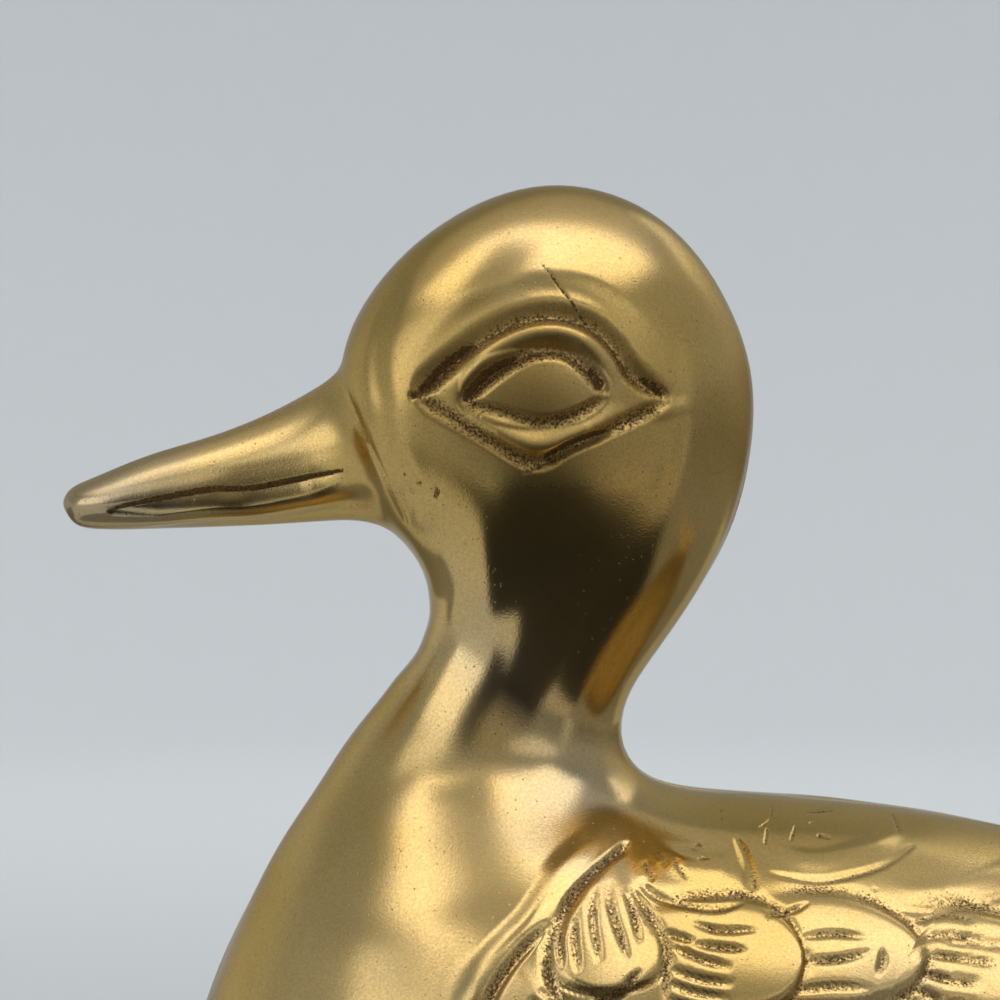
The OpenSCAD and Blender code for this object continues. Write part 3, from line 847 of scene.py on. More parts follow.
def column_nodes(skin: Skin, start: float, end: float, per_station: int) -> tuple[np.ndarray, int, int]:
    """Places the coarse columns so that two of them fall where the belly meets the ground.

    Args:
        skin: The surface.
        start: First place, in stations.
        end: Last place.
        per_station: Columns between two stations.

    Returns:
        The places, and the numbers of the front and the rear ground column.
    """
    nodes = np.linspace(start, end, int(round((end - start) * per_station)) + 1)
    marks = []
    for ground in skin.ground_places():
        mark = int(np.argmin(np.abs(nodes - ground)))
        nodes[mark] = ground
        marks.append(mark)
    return nodes, marks[0], marks[1]


def chasing_spacing(points: np.ndarray) -> np.ndarray:
    """Gives the cell size that the work at each point needs.

    Args:
        points: Points of the skin, in millimetres.

    Returns:
        One size for each point, in millimetres.
    """
    x, _, z = points.T
    size = np.full(len(points), 1.6)
    size[x > 54] = 1.1
    wing = (x > -49) & (x < 66) & (z > 24) & (z < 70)
    size[wing] = 0.9
    size[(x > -45.5) & (x < 1) & (z > 54.5) & (z < 68.5)] = 0.45
    size[(x > -60) & (x < -49.5) & (z > 91) & (z < 109)] = 0.6
    off_mouth = z - 93.9 - (x + 77.2) * 0.16
    size[(x < -54) & (np.abs(off_mouth) < 2)] = 0.45
    size[(x < -54) & (x > -79) & (np.abs(off_mouth) < 0.8)] = 0.25
    eye = (x > -51) & (x < -27) & (z > 96.5) & (z < 112)
    scratch = (x > -40.2) & (x < -33.6) & (z > 107) & (z < 116)
    size[eye | scratch] = 0.3
    return size


def filing_waves(points: np.ndarray) -> np.ndarray:
    """Gives the faint unevenness that filing and polishing by hand leave.

    Args:
        points: Points of the skin, in millimetres.

    Returns:
        One height for each point, in millimetres.
    """
    dice = np.random.default_rng(5)
    height = np.zeros(len(points))
    for _ in range(9):
        way = dice.normal(size=3)
        way /= np.linalg.norm(way)
        length = dice.uniform(7, 19)
        height += 0.0055 * length * np.sin(points @ way * 2 * math.pi / length + dice.uniform(0, 6.28)) / 3
    return height


def new_piece(name: str, points: np.ndarray, faces: Iterable[Sequence[int]],
              material: bpy.types.Material) -> bpy.types.Object:
    """Makes a mesh object that rides on the duck.

    Args:
        name: Name of the piece.
        points: Its points, in millimetres.
        faces: Corner numbers of each face.
        material: Its finish.

    Returns:
        The object, at the origin.
    """
    mesh = bpy.data.meshes.new(name)
    mesh.from_pydata((points * MM).tolist(), [], list(faces))
    mesh.update()
    piece = bpy.data.objects.new(name, mesh)
    bpy.context.scene.collection.objects.link(piece)
    mesh.materials.append(material)
    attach(piece, "root")
    return piece


def write_attribute(mesh: bpy.types.Mesh, name: str, values: np.ndarray) -> None:
    """Stores one number for each point of a mesh."""
    layer = mesh.attributes.new(name, "FLOAT", "POINT")
    layer.data.foreach_set("value", values.astype(np.float32))


def flat_faces(points: np.ndarray, loop: list[int], out: Vector) -> list[list[int]]:
    """Fills a flat closed line with triangles.

    Args:
        points: All points of the mesh.
        loop: Numbers of the line's points, in order.
        out: The way that the triangles face.

    Returns:
        The triangles.
    """
    corners = [Vector(points[k]) for k in loop]
    faces = []
    for a, b, c in tessellate_polygon([corners]):
        normal = (corners[b] - corners[a]).cross(corners[c] - corners[a])
        faces.append([loop[a], loop[b], loop[c]] if normal.dot(out) > 0 else [loop[a], loop[c], loop[b]])
    return faces


@dataclass
class HalfCasting:
    """One half of the duck: chased skin, rough hollow, mating face and ground rim."""

    side: Side
    node: str
    rows: int = 24
    levels: int = 4
    columns_per_station: int = 3

    def outer(self) -> tuple[SkinGrid, np.ndarray, Canvas, int, int]:
        """Builds the chased skin.

        Returns:
            The grid, its worked points, the canvas that they were worked on,
            and the front and rear ground columns as fine counts.
        """
        skin = Skin(-POLISH_LOSS)
        nodes, front, rear = column_nodes(skin, 0, skin.last, self.columns_per_station)
        grid = SkinGrid(skin, nodes, self.rows, chasing_spacing, self.levels)
        points, normals = skin.place(grid.u, grid.angle), skin.normal(grid.u, grid.angle)
        canvas = Canvas(points, normals)
        Eye().chase(canvas)
        Face().chase(canvas)
        Wing().chase(canvas)
        Tail().chase(canvas)
        height = canvas.form - canvas.depth + filing_waves(points)
        calm = (smooth_step(0.4, 1.4, -points[:, 1]) * smooth_step(0, 2.5, points[:, 2])
                * smooth_step(0, 1.2, 81.9 - points[:, 0]) * smooth_step(0, 1.5, points[:, 0] + 82))
        worked = points + normals * (height * calm)[:, None]
        fine = 2 ** self.levels
        return grid, worked, canvas, front * fine, rear * fine

    def build(self, material: bpy.types.Material) -> bpy.types.Object:
        """Builds the closed half and gives it its finish.

        Args:
            material: The brass finish.

        Returns:
            The piece.
        """
        grid, points, canvas, front, rear = self.outer()
        faces = list(grid.faces)
        core = Skin(-WALL)
        nodes, core_front, core_rear = column_nodes(core, HOLLOW_START, HOLLOW_END, 2)
        inside = SkinGrid(core, nodes, 16, lambda p: np.where(p[:, 2] < 4, 1.1, 3.0), 2)
        offset = len(points)
        hollow = core.place(inside.u, inside.angle)
        points = np.vstack([points, hollow])
        faces += [[offset + k for k in reversed(face)] for face in inside.faces]
        smooth_count = len(faces)

        def shifted(numbers: list[int]) -> list[int]:
            """Turns numbers of the hollow's corners into numbers of the whole mesh."""
            return [offset + k for k in numbers]

        back, belly = grid.line(row=0), grid.line(row=grid.tall)
        tip, end = grid.line(column=0), grid.line(column=grid.wide)
        core_back = shifted(inside.line(row=0))
        core_belly_row = inside.line(row=inside.tall)
        core_fine = 2 ** inside.levels
        belly_front = [k for k in belly if grid.i[k] <= front]
        belly_rear = [k for k in belly if grid.i[k] >= rear]
        rim = [k for k in belly if front <= grid.i[k] <= rear]
        core_belly_front = shifted([k for k in core_belly_row if inside.i[k] <= core_front * core_fine])
        core_belly_rear = shifted([k for k in core_belly_row if inside.i[k] >= core_rear * core_fine])
        core_rim = shifted([k for k in core_belly_row
                            if core_front * core_fine <= inside.i[k] <= core_rear * core_fine])
        mating = (belly_front[::-1] + back + belly_rear[::-1]
                  + core_belly_rear + core_back[::-1] + core_belly_front)
        faces += flat_faces(points, mating, Vector((0, 1, 0)))
        faces += flat_faces(points, rim + core_rim[::-1], Vector((0, 0, -1)))
        faces += flat_faces(points, tip, Vector((-1, 0, 0)))
        faces += flat_faces(points, end, Vector((1, 0, 0)))
        faces += flat_faces(points, shifted(inside.line(column=0)), Vector((1, 0, 0)))
        faces += flat_faces(points, shifted(inside.line(column=inside.wide)), Vector((-1, 0, 0)))
        if self.side is Side.RIGHT:
            points = points * np.array([1, -1, 1])
            faces = [face[::-1] for face in faces]
        piece = new_piece(self.node + "_chased", points, faces, material)
        mesh = piece.data
        smooth = np.zeros(len(faces), bool)
        smooth[:smooth_count] = True
        mesh.polygons.foreach_set("use_smooth", smooth)
        write_attribute(mesh, "tarnish_and_shade", np.concatenate([canvas.tarnish_and_shade, np.full(len(hollow), 0.25)]))
        write_attribute(mesh, "satin", np.concatenate([canvas.satin, np.ones(len(hollow))]))
        write_attribute(mesh, "as_cast", np.concatenate([np.zeros(offset), np.ones(len(hollow))]))
        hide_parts(self.node)
        triangles = sum(len(polygon) - 2 for polygon in faces)
        log.info("%s: %d points, %d triangles", piece.name, len(points), triangles)
        return piece


@dataclass
class BrazedSeam:
    """Strip of brazing metal between the halves, flush outside, with a bead inside."""

    node: str = "brazed_seam"
    per_station: int = 12
    across: int = 4
    bead_radius: float = 0.9

    def ribbon(self, skin: Skin, start: float, end: float, ground: tuple[float, float]
               ) -> tuple[np.ndarray, int]:
        """Lays points across the strip from the front rim over the back to the rear rim.

        Args:
            skin: The surface that the ribbon follows.
            start: First place of the duck or its hollow.
            end: Last place.
            ground: Places where the belly meets the ground.

        Returns:
            The points, and how many lie side by side.
        """
        def places(a: float, b: float) -> np.ndarray:
            """Spreads places evenly from one station to another."""
            return np.linspace(a, b, max(2, int(abs(b - a) * self.per_station)))

        belly_in, back, belly_out = places(ground[0], start), places(start, end), places(end, ground[1])
        u = np.concatenate([belly_in, back, belly_out])
        belly = np.repeat([True, False, True], [len(belly_in), len(back), len(belly_out)])
        seam = skin.seam_angle(u)
        rows = []
        for share in np.linspace(1, -1, self.across + 1):
            angle = seam * share
            rows.append(skin.place(u, np.where(belly, math.pi - angle, angle)))
        return np.stack(rows, axis=1).reshape(-1, 3), self.across + 1

    def build(self, material: bpy.types.Material) -> bpy.types.Object:
        """Builds the closed strip.

        Args:
            material: The brazing metal's finish.

        Returns:
            The piece.
        """
        skin, core = Skin(-POLISH_LOSS), Skin(-WALL)
        outer, wide = self.ribbon(skin, 0, skin.last, skin.ground_places())
        inner, _ = self.ribbon(core, HOLLOW_START, HOLLOW_END, core.ground_places())
        outer[:wide, 2] = outer[-wide:, 2] = inner[:wide, 2] = inner[-wide:, 2] = 0
        points = np.vstack([outer, inner])
        offset, faces = len(outer), []
        for base, rows, turned in ((0, len(outer) // wide, False), (offset, len(inner) // wide, True)):
            for i in range(rows - 1):
                for j in range(wide - 1):
                    a = base + i * wide + j
                    face = [a, a + wide, a + wide + 1, a + 1]
                    faces.append(face[::-1] if turned else face)
        smooth_count = len(faces)
        for column, way in ((0, -1), (wide - 1, 1)):
            loop = list(range(column, offset, wide)) + list(range(offset + column, len(points), wide))[::-1]
            faces += flat_faces(points, loop, Vector((0, way, 0)))
        for a, b in ((0, offset), (offset - wide, len(points) - wide)):
            loop = list(range(a, a + wide)) + list(range(b, b + wide))[::-1]
            faces += flat_faces(points, loop, Vector((0, 0, -1)))
        piece = new_piece("brazed_seam_filed", points, faces, material)
        smooth = np.zeros(len(faces), bool)
        smooth[:smooth_count] = True
        piece.data.polygons.foreach_set("use_smooth", smooth)
        write_attribute(piece.data, "tarnish_and_shade", np.zeros(len(points)))
        write_attribute(piece.data, "as_cast", np.concatenate([np.zeros(offset), np.ones(len(inner))]))
        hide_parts(self.node)
        log.info("%s: %d points", piece.name, len(points))
        return piece

    def bead(self, material: bpy.types.Material) -> bpy.types.Object:
        """Runs the rippled bead of brazing metal along the seam inside the hollow.

        Args:
            material: The brazing metal's finish.

        Returns:
            The piece.
        """
        core = Skin(-WALL)
        ground = core.ground_places()
        front, rear = ground[0] - 0.25, ground[1] + 0.25
        u = np.concatenate([np.linspace(front, HOLLOW_START + 0.2, 60),
                            np.linspace(HOLLOW_START + 0.2, HOLLOW_END - 0.2, 120),
                            np.linspace(HOLLOW_END - 0.2, rear, 30)])
        angle = np.concatenate([np.full(60, math.pi), np.zeros(120), np.full(30, math.pi)])
        path = core.place(u, angle) * MM
        mesh = bpy.data.meshes.new("seam_bead")
        mesh.from_pydata(path.tolist(), [(k, k + 1) for k in range(len(path) - 1)], [])
        piece = bpy.data.objects.new("seam_bead", mesh)
        bpy.context.scene.collection.objects.link(piece)
        tree = bead_tree(material)
        modifier = piece.modifiers.new("bead", "NODES")
        modifier.node_group = tree
        sizes = {"Radius": self.bead_radius * MM, "Ripple": 2.2 * MM, "Seed": 7}
        for item in tree.interface.items_tree:
            if item.name in sizes and item.in_out == "INPUT":
                modifier[item.identifier] = sizes[item.name]
        shaped = bpy.data.meshes.new_from_object(piece.evaluated_get(bpy.context.evaluated_depsgraph_get()))
        piece.modifiers.clear()
        piece.data = shaped
        shaped.materials.clear()
        shaped.materials.append(material)
        write_attribute(shaped, "tarnish_and_shade", np.full(len(shaped.vertices), 0.2))
        write_attribute(shaped, "as_cast", np.ones(len(shaped.vertices)))
        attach(piece, "root")
        log.info("%s: %d points", piece.name, len(shaped.vertices))
        return piece


def add(tree: bpy.types.NodeTree, kind: str, settings: dict | None = None, inputs: dict | None = None
        ) -> bpy.types.Node:
    """Adds a node with its settings, values and links.

    Args:
        tree: The node tree.
        kind: Type of the node.
        settings: Properties of the node.
        inputs: Value or output socket for each input, by name or number.

    Returns:
        The node.
    """
    node = tree.nodes.new(kind)
    for key, value in (settings or {}).items():
        setattr(node, key, value)
    for key, value in (inputs or {}).items():
        if isinstance(value, bpy.types.NodeSocket):
            tree.links.new(value, node.inputs[key])
        else:
            node.inputs[key].default_value = value
    return node


def bead_tree(material: bpy.types.Material) -> bpy.types.NodeTree:
    """Makes the tree that turns a path of edges into a rippled bead.

    Args:
        material: Finish of the bead.

    Returns:
        The tree, with inputs for the bead's radius, ripple and seed.
    """
    tree = bpy.data.node_groups.new("rippled_bead", "GeometryNodeTree")
    tree.interface.new_socket("Geometry", in_out="INPUT", socket_type="NodeSocketGeometry")
    for name, kind in (("Radius", "NodeSocketFloat"), ("Ripple", "NodeSocketFloat"), ("Seed", "NodeSocketFloat")):
        tree.interface.new_socket(name, in_out="INPUT", socket_type=kind)
    tree.interface.new_socket("Geometry", in_out="OUTPUT", socket_type="NodeSocketGeometry")
    given = add(tree, "NodeGroupInput")
    curve = add(tree, "GeometryNodeMeshToCurve", inputs={"Mesh": given.outputs["Geometry"]})
    step = add(tree, "ShaderNodeMath", {"operation": "DIVIDE"}, {0: given.outputs["Ripple"], 1: 5.0})
    fine = add(tree, "GeometryNodeResampleCurve", {"mode": "LENGTH"},
               {"Curve": curve.outputs[0], "Length": step.outputs[0]})
    place = add(tree, "GeometryNodeSplineParameter")
    turns = add(tree, "ShaderNodeMath", {"operation": "DIVIDE"},
                {0: place.outputs["Length"], 1: given.outputs["Ripple"]})
    saw = add(tree, "ShaderNodeMath", {"operation": "FRACT"}, {0: turns.outputs[0]})
    ripple = add(tree, "ShaderNodeMapRange", inputs={"Value": saw.outputs[0], "To Min": 1.06, "To Max": 0.9})
    spot = add(tree, "GeometryNodeInputPosition")
    noise = add(tree, "ShaderNodeTexNoise", {"noise_dimensions": "4D"},
                {"Vector": spot.outputs[0], "W": given.outputs["Seed"], "Scale": 160.0, "Detail": 2.0})
    swell = add(tree, "ShaderNodeMapRange",
                inputs={"Value": noise.outputs[0], "From Min": 0.3, "From Max": 0.7, "To Min": 0.7, "To Max": 1.25})
    share = add(tree, "ShaderNodeMath", {"operation": "MULTIPLY"}, {0: ripple.outputs[0], 1: swell.outputs[0]})
    radius = add(tree, "ShaderNodeMath", {"operation": "MULTIPLY"},
                 {0: share.outputs[0], 1: given.outputs["Radius"]})
    sized = add(tree, "GeometryNodeSetCurveRadius",
                inputs={"Curve": fine.outputs[0], "Radius": radius.outputs[0]})
    ring = add(tree, "GeometryNodeCurvePrimitiveCircle", inputs={"Resolution": 12, "Radius": 1.0})
    tube_inputs = {"Curve": sized.outputs[0], "Profile Curve": ring.outputs[0], "Fill Caps": True}
    tube = add(tree, "GeometryNodeCurveToMesh", inputs=tube_inputs)
    if "Scale" in tube.inputs:
        tree.links.new(radius.outputs[0], tube.inputs["Scale"])
    smooth = add(tree, "GeometryNodeSetShadeSmooth", inputs={"Geometry": tube.outputs[0]})
    real = add(tree, "GeometryNodeRealizeInstances", inputs={"Geometry": smooth.outputs[0]})
    dressed = add(tree, "GeometryNodeSetMaterial", inputs={"Geometry": real.outputs[0], "Material": material})
    add(tree, "NodeGroupOutput", inputs={"Geometry": dressed.outputs[0]})
    return tree


@dataclass(frozen=True)
class Brass:
    """Sand-cast brass, filed and polished by hand and left to age.

    It shows a mirror-like satin gold with fine dark pits, faint olive and warm
    clouds of old tarnish, and crumbs of brown oxide in the grooves that the
    polishing cloth can't reach.
    """

    name: str
    bright: str = "#EAC886"
    warm: str = "#DDB96E"
    olive: str = "#CEB891"
    oxide: str = "#6A4620"
    soot_and_shade: str = "#2C1B0E"
    cast: str = "#7C6136"
    edge: str = "#B4AA94"
    polish: float = 0.08
    cloud_mm: float = 16.0
    pore_gap_mm: float = 0.6
    crumb_mm: float = 0.11
    grain_mm: float = 0.11

    def build(self) -> bpy.types.Material:
        """Builds the node tree.

        Returns:
            The material.
        """
        material = bpy.data.materials.new(self.name)
        material.use_nodes = True
        tree = material.node_tree
        tree.nodes.clear()
        where = add(tree, "ShaderNodeTexCoord").outputs["Object"]

        def noise(size_mm: float, detail: float, rough: float = 0.5) -> bpy.types.NodeSocket:
            """Gives noise whose features are about size_mm across."""
            return add(tree, "ShaderNodeTexNoise", inputs={
                "Vector": where, "Scale": 0.5 / (size_mm * MM), "Detail": detail, "Roughness": rough}).outputs[0]

        def ranged(value: bpy.types.NodeSocket, low: float, high: float, to_low: float, to_high: float
                   ) -> bpy.types.NodeSocket:
            """Maps a value from one range to another, held at its ends."""
            return add(tree, "ShaderNodeMapRange", {"clamp": True}, {
                "Value": value, "From Min": low, "From Max": high, "To Min": to_low, "To Max": to_high}).outputs[0]

        def maths(kind: str, a: bpy.types.NodeSocket | float, b: bpy.types.NodeSocket | float
                  ) -> bpy.types.NodeSocket:
            """Joins two values."""
            return add(tree, "ShaderNodeMath", {"operation": kind}, {0: a, 1: b}).outputs[0]

        def blend(share: bpy.types.NodeSocket, a: bpy.types.NodeSocket, b: bpy.types.NodeSocket
                  ) -> bpy.types.NodeSocket:
            """Mixes two colours."""
            return add(tree, "ShaderNodeMix", {"data_type": "RGBA"}, {"Factor": share, 6: a, 7: b}).outputs[2]

        def ramp(value: bpy.types.NodeSocket, *stops: tuple[float, str]) -> bpy.types.NodeSocket:
            """Turns a value into colours.

            Args:
                value: The value.
                stops: Positions from 0 to 1 with their colours.

            Returns:
                The colour.
            """
            node = add(tree, "ShaderNodeValToRGB", inputs={"Fac": value})
            elements = node.color_ramp.elements
            elements[0].position, elements[0].color = stops[0][0], linear(stops[0][1])
            elements[1].position, elements[1].color = stops[-1][0], linear(stops[-1][1])
            for position, colour in stops[1:-1]:
                elements.new(position).color = linear(colour)
            return node.outputs[0]

        cloud = noise(self.cloud_mm, 3.0, 0.55)
        patch = noise(1.8, 3.0, 0.6)
        crumb = noise(self.crumb_mm, 2.0, 0.6)
        grain = noise(self.grain_mm, 2.0, 0.7)
        tarnish_and_shade = add(tree, "ShaderNodeAttribute", {"attribute_name": "tarnish_and_shade"}).outputs["Fac"]
        satin = add(tree, "ShaderNodeAttribute", {"attribute_name": "satin"}).outputs["Fac"]
        as_cast = add(tree, "ShaderNodeAttribute", {"attribute_name": "as_cast"}).outputs["Fac"]
        pores = add(tree, "ShaderNodeTexVoronoi", inputs={"Vector": where, "Scale": 1 / (self.pore_gap_mm * MM)})
        few = add(tree, "ShaderNodeSeparateColor", inputs={0: pores.outputs["Color"]}).outputs[0]
        pore = maths("MULTIPLY", ranged(pores.outputs["Distance"], 0.07, 0.16, 1.0, 0.0),
                     ranged(few, 0.35, 0.8, 0.0, 1.0))

        metal = ramp(cloud, (0.36, self.olive), (0.5, self.bright), (0.64, self.warm))
        shade = maths("SUBTRACT", ranged(grain, 0.3, 0.7, 0.82, 1.1), maths("MULTIPLY", pore, 0.55))
        toned = add(tree, "ShaderNodeMix", {"data_type": "RGBA", "blend_type": "MULTIPLY"},
                    {"Factor": 1.0, 6: metal, 7: shade}).outputs[2]
        filmed = blend(ranged(tarnish_and_shade, 0.0, 0.9, 0.0, 0.5), toned, ramp(crumb, (0.3, self.oxide), (0.7, self.warm)))
        dull = ramp(patch, (0.35, self.oxide), (0.6, self.cast))
        loose = maths("ADD", maths("MULTIPLY", patch, 0.7), maths("MULTIPLY", crumb, 1.6))
        # Crumbs of oxide and soot where grime lies; on the eye and mouth slits they are laid on thickly as painted
        # shade.
        crumb_packing_and_shade = ranged(maths("SUBTRACT", maths("MULTIPLY", tarnish_and_shade, 1.1), loose), -0.9, -0.5, 0.0, 0.9)
        oxide_crumbs_and_shade = maths("MULTIPLY", crumb_packing_and_shade, ranged(tarnish_and_shade, 0.05, 0.25, 0.0, 1.0))
        oxide = ramp(crumb, (0.36, self.soot_and_shade), (0.62, self.oxide))
        base = blend(oxide_crumbs_and_shade, blend(as_cast, filmed, dull), oxide)

        rough = maths("ADD", ranged(cloud, 0.35, 0.65, self.polish + 0.05, self.polish),
                      ranged(grain, 0.3, 0.7, 0.05, 0.0))
        rough = maths("ADD", rough, maths("MULTIPLY", satin, 0.3))
        rough = maths("ADD", rough, maths("MULTIPLY", as_cast, 0.3))
        rough = maths("ADD", rough, maths("MULTIPLY", oxide_crumbs_and_shade, 0.35))
        metallic = maths("SUBTRACT", 1.0, maths("MULTIPLY", oxide_crumbs_and_shade, 0.6))
        relief = maths("SUBTRACT", maths("MULTIPLY", grain, 0.35), maths("MULTIPLY", pore, 0.5))
        relief = maths("ADD", relief, maths("MULTIPLY", maths("MULTIPLY", tarnish_and_shade, crumb), 1.5))
        relief = maths("ADD", relief, maths("MULTIPLY", maths("MULTIPLY", as_cast, noise(0.8, 4.0)), 5.0))
        bump = add(tree, "ShaderNodeBump", inputs={"Height": relief, "Strength": 0.5, "Distance": 0.05 * MM})
        shader = add(tree, "ShaderNodeBsdfPrincipled", inputs={
            "Base Color": base, "Roughness": rough, "Metallic": metallic, "Normal": bump.outputs[0],
            "Specular Tint": linear(self.edge), "Coat Weight": 0.25, "Coat Roughness": 0.2})
        add(tree, "ShaderNodeOutputMaterial", inputs={"Surface": shader.outputs[0]})
        return material


@dataclass(frozen=True)
class Paper:
    """Seamless background paper, rolled from dyed pulp: matt, even, with the faintest tooth."""

    name: str = "pale_paper"
    colour: str = "#CCD0D2"
    tooth_mm: float = 3.0

    def build(self) -> bpy.types.Material:
        """Builds the node tree.

        Returns:
            The material.
        """
        material = bpy.data.materials.new(self.name)
        material.use_nodes = True
        tree = material.node_tree
        tree.nodes.clear()
        where = add(tree, "ShaderNodeTexCoord").outputs["Object"]
        tooth = add(tree, "ShaderNodeTexNoise", inputs={"Vector": where, "Scale": 1 / (self.tooth_mm * MM)})
        bump = add(tree, "ShaderNodeBump", inputs={
            "Height": tooth.outputs[0], "Strength": 0.05, "Distance": 0.1 * MM})
        shader = add(tree, "ShaderNodeBsdfPrincipled", inputs={
            "Base Color": linear(self.colour), "Roughness": 0.85, "Normal": bump.outputs[0]})
        add(tree, "ShaderNodeOutputMaterial", inputs={"Surface": shader.outputs[0]})
        return material


@dataclass(frozen=True)
class Felt:
    """Pressed wool felt, dyed, with painted light: its colour grows lighter from its foot to its head.

    It looks dead matt, with one soft change of tone from its foot to its head.
    """

    name: str
    foot: str
    head: str

    def build(self) -> bpy.types.Material:
        """Builds the node tree.

        Returns:
            The material.
        """
        material = bpy.data.materials.new(self.name)
        material.use_nodes = True
        tree = material.node_tree
        tree.nodes.clear()
        where = add(tree, "ShaderNodeTexCoord").outputs["Object"]
        height = add(tree, "ShaderNodeSeparateXYZ", inputs={0: where}).outputs["Z"]
        # Painted light: the colour grows lighter from 6 cm to 24 cm up, standing in for more light on the upper parts
        # of screens and mats.
        share = add(tree, "ShaderNodeMapRange", inputs={"Value": height, "From Min": 0.06, "From Max": 0.24})
        fade = add(tree, "ShaderNodeMix", {"data_type": "RGBA"},
                   {"Factor": share.outputs[0], 6: linear(self.foot), 7: linear(self.head)})
        shader = add(tree, "ShaderNodeBsdfPrincipled", inputs={"Base Color": fade.outputs[2], "Roughness": 0.95})
        add(tree, "ShaderNodeOutputMaterial", inputs={"Surface": shader.outputs[0]})
        return material


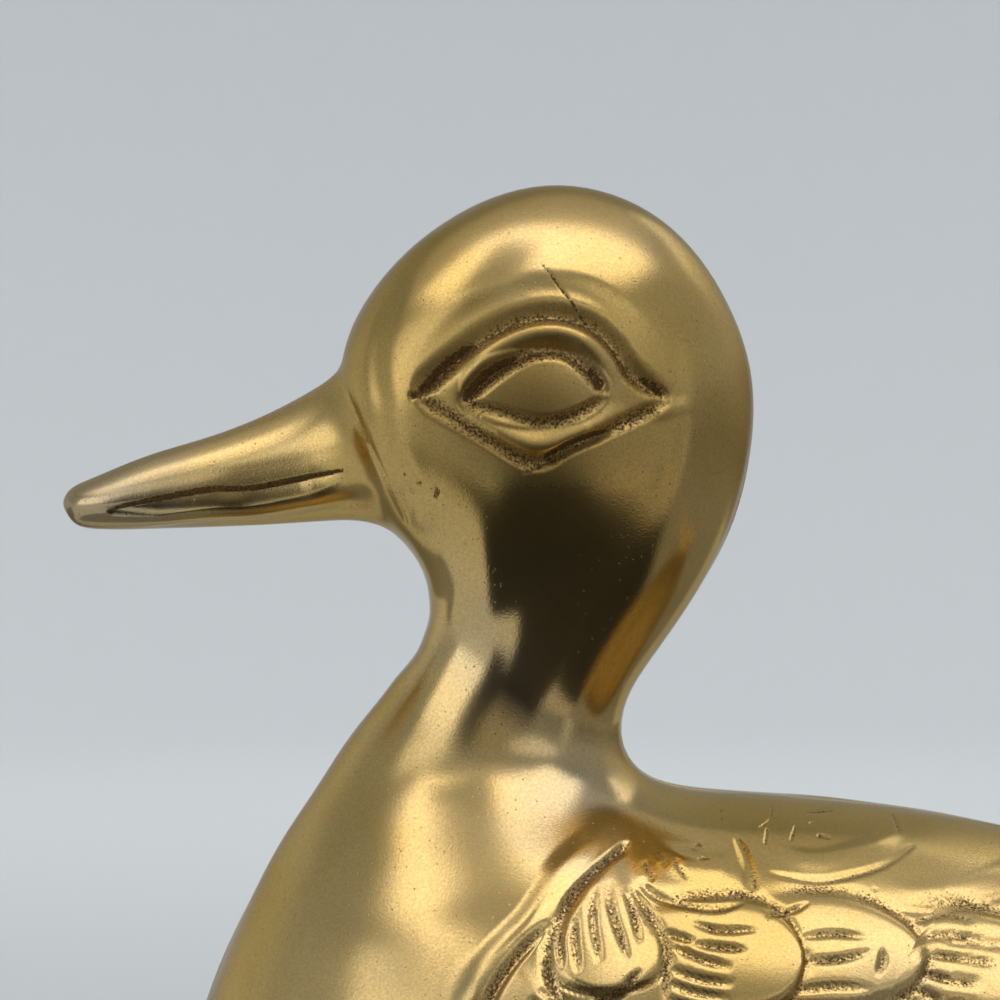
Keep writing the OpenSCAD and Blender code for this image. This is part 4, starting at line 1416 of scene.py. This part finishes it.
@dataclass
class Studio:
    """Round paper sweep, soft lights and the camera at the photograph's angle."""

    floor_radius: float = 0.75
    sweep_radius: float = 1.35
    sweep_height: float = 1.5
    camera_at: tuple[float, float, float] = (-0.0428, -0.22, 0.0948)
    lens: float = 88.0

    def sweep(self) -> None:
        """Makes the floor that curves up into a round wall."""
        profile = [(0.0, 0.0), (self.floor_radius, 0.0)]
        rise = self.sweep_radius - self.floor_radius
        for k in range(1, 17):
            turn = math.pi / 2 * k / 16
            profile.append((self.floor_radius + rise * math.sin(turn), rise * (1 - math.cos(turn))))
        profile.append((self.sweep_radius, self.sweep_height))
        count = 96
        points = [(0.0, 0.0, -0.00002)]
        faces = []
        for ring, (radius, height) in enumerate(profile[1:]):
            for k in range(count):
                turn = 2 * math.pi * k / count
                points.append((radius * math.cos(turn), radius * math.sin(turn), height - 0.00002))
            base = 1 + ring * count
            for k in range(count):
                follow = (k + 1) % count
                if ring == 0:
                    faces.append((0, base + k, base + follow))
                else:
                    faces.append((base - count + k, base + k, base + follow, base - count + follow))
        mesh = bpy.data.meshes.new("paper_sweep")
        mesh.from_pydata(points, [], faces)
        mesh.materials.append(Paper().build())
        mesh.polygons.foreach_set("use_smooth", np.ones(len(faces), bool))
        sweep = bpy.data.objects.new("paper_sweep", mesh)
        bpy.context.scene.collection.objects.link(sweep)

    @staticmethod
    def softbox(name: str, at: tuple[float, float, float], aim: tuple[float, float, float],
                size: tuple[float, float], watts: float, colour: str) -> None:
        """Hangs a soft area light.

        Args:
            name: Name of the light.
            at: Its place, in metres.
            aim: The place that it faces.
            size: Its width and height, in metres.
            watts: Its power.
            colour: Its colour.
        """
        data = bpy.data.lights.new(name, "AREA")
        data.shape = "RECTANGLE"
        data.size, data.size_y = size
        data.energy = watts
        data.color = linear(colour)[:3]
        light = bpy.data.objects.new(name, data)
        light.location = at
        light.rotation_euler = (Vector(aim) - Vector(at)).to_track_quat("-Z", "Y").to_euler()
        bpy.context.scene.collection.objects.link(light)

    @staticmethod
    def screen(name: str, start: float, end: float, profile: Sequence[Point], material: bpy.types.Material) -> None:
        """Stands a curved felt screen round the duck, which only its reflections show.

        Args:
            name: Name of the screen.
            start: Angle where it starts, in degrees from the camera's side to the right.
            end: Angle where it ends.
            profile: Distance from the duck and height at each step, in metres.
            material: Its felt.
        """
        count = 24
        points, faces = [], []
        for k in range(count + 1):
            turn = math.radians(start + (end - start) * k / count)
            for radius, height in profile:
                points.append((radius * math.sin(turn) - 0.03, 0.04 - radius * math.cos(turn), height))
            if k:
                row = len(profile)
                faces += [((k - 1) * row + j, k * row + j, k * row + j + 1, (k - 1) * row + j + 1)
                          for j in range(row - 1)]
        mesh = bpy.data.meshes.new(name)
        mesh.from_pydata(points, [], faces)
        mesh.materials.append(material)
        screen = bpy.data.objects.new(name, mesh)
        screen.visible_camera = False
        screen.visible_diffuse = False
        screen.visible_shadow = False
        bpy.context.scene.collection.objects.link(screen)

    def screens(self) -> None:
        """Stands the felt screens and lays the felt mats."""
        wall = ((0.46, 0.004), (0.52, 0.03), (0.56, 0.12), (0.57, 0.3), (0.57, 0.5))
        dark = Felt("blue_black_felt", "#1E2126", "#3A3B3C").build()
        grey = Felt("grey_felt", "#8A8C8E", "#BDBEBC").build()
        painted_light_felt = Felt("felt_painted_lighter_on_top", "#1E2126", "#B4B1AA").build()
        pale = Felt("pale_felt", "#B4B1AA", "#B4B1AA").build()
        self.screen("front_screen", -14, 24, wall[:4] + ((0.57, 0.44),), painted_light_felt)
        self.screen("left_front_screen", -32, -14, wall[:4] + ((0.57, 0.46),), dark)
        self.screen("front_side_screen", 24, 54, wall, grey)
        self.screen("side_screen", 64, 90, wall, grey)
        self.screen("right_screen", 90, 150, wall[:4] + ((0.57, 0.75),), grey)
        # Painted shade: a dark mat, seen only in reflections, stands in for the shade on the floor just in front of
        # the duck.
        self.screen("front_shade_mat", -34, 54, ((0.05, 0.003), (0.22, 0.003)), dark)
        self.screen("middle_mat", -16, 24, ((0.22, 0.003), (0.46, 0.004)), dark)
        # Painted shade: a grey mat, seen only in reflections, stands in for the breast's shadow on the floor under
        # the bill.
        self.screen("bill_shadow_mat", -110, -34, ((0.02, 0.003), (0.11, 0.003)), grey)
        self.screen("outer_mat", 24, 54, ((0.22, 0.003), (0.46, 0.004)), pale)
        self.screen("right_mat", 54, 130, ((0.05, 0.003), (0.46, 0.003)), grey)
        self.screen("canopy", -48, -4, ((0.1, 0.38), (0.17, 0.38), (0.25, 0.36)), grey)
        self.screen("left_mat", -150, -90, ((0.15, 0.003), (0.6, 0.003)), grey)

    def lights(self) -> None:
        """Hangs the soft lights and sets the even sky."""
        duck = (-0.02, 0, 0.07)
        self.softbox("ceiling", (0.05, -0.28, 1.05), (0.05, -0.26, 0), (1.7, 0.74), 5.0, "#FFFBF4")
        self.softbox("left_window", (-0.72, -0.6, 0.4), duck, (0.75, 0.72), 1.55, "#FAFBFF")
        self.softbox("front_fill", (0.27, -0.43, 0.25), duck, (0.4, 0.3), 0.15, "#FFFFFF")
        self.softbox("backdrop_wash", (0, 0.4, 0.6), (0, 1.1, 0.1), (1.6, 0.3), 4.1, "#FFFFFF")
        world = bpy.data.worlds.new("soft_sky")
        world.use_nodes = True
        world.node_tree.nodes["Background"].inputs[0].default_value = linear("#C9CCCF")
        world.node_tree.nodes["Background"].inputs[1].default_value = 0.75
        bpy.context.scene.world = world

    def camera(self) -> None:
        """Sets the camera at the photograph's viewing angle."""
        data = bpy.data.cameras.new("photo_view")
        data.lens, data.sensor_width = self.lens, 36.0
        data.clip_start = 0.01
        camera = bpy.data.objects.new("photo_view", data)
        camera.location = self.camera_at
        camera.rotation_euler = (math.pi / 2, 0, 0)
        bpy.context.scene.collection.objects.link(camera)
        bpy.context.scene.camera = camera

    def build(self) -> None:
        """Sets up the sweep, the screens, the lights and the camera."""
        self.sweep()
        self.screens()
        self.lights()
        self.camera()
        bpy.context.scene.view_settings.view_transform = "Standard"


def main() -> None:
    """Builds the duck and its studio in order."""
    logging.basicConfig(level=logging.INFO, format="%(name)s: %(message)s")
    Studio().build()
    brass = Brass("sand_cast_brass_polished").build()
    braze = Brass("brazing_brass_filed", bright="#EDCB80", warm="#E3BC6E", olive="#D6BC7C").build()
    HalfCasting(Side.LEFT, "left_casting").build(brass)
    HalfCasting(Side.RIGHT, "right_casting").build(brass)
    seam = BrazedSeam()
    seam.build(braze)
    seam.bead(braze)


if __name__ == "__main__":
    main()
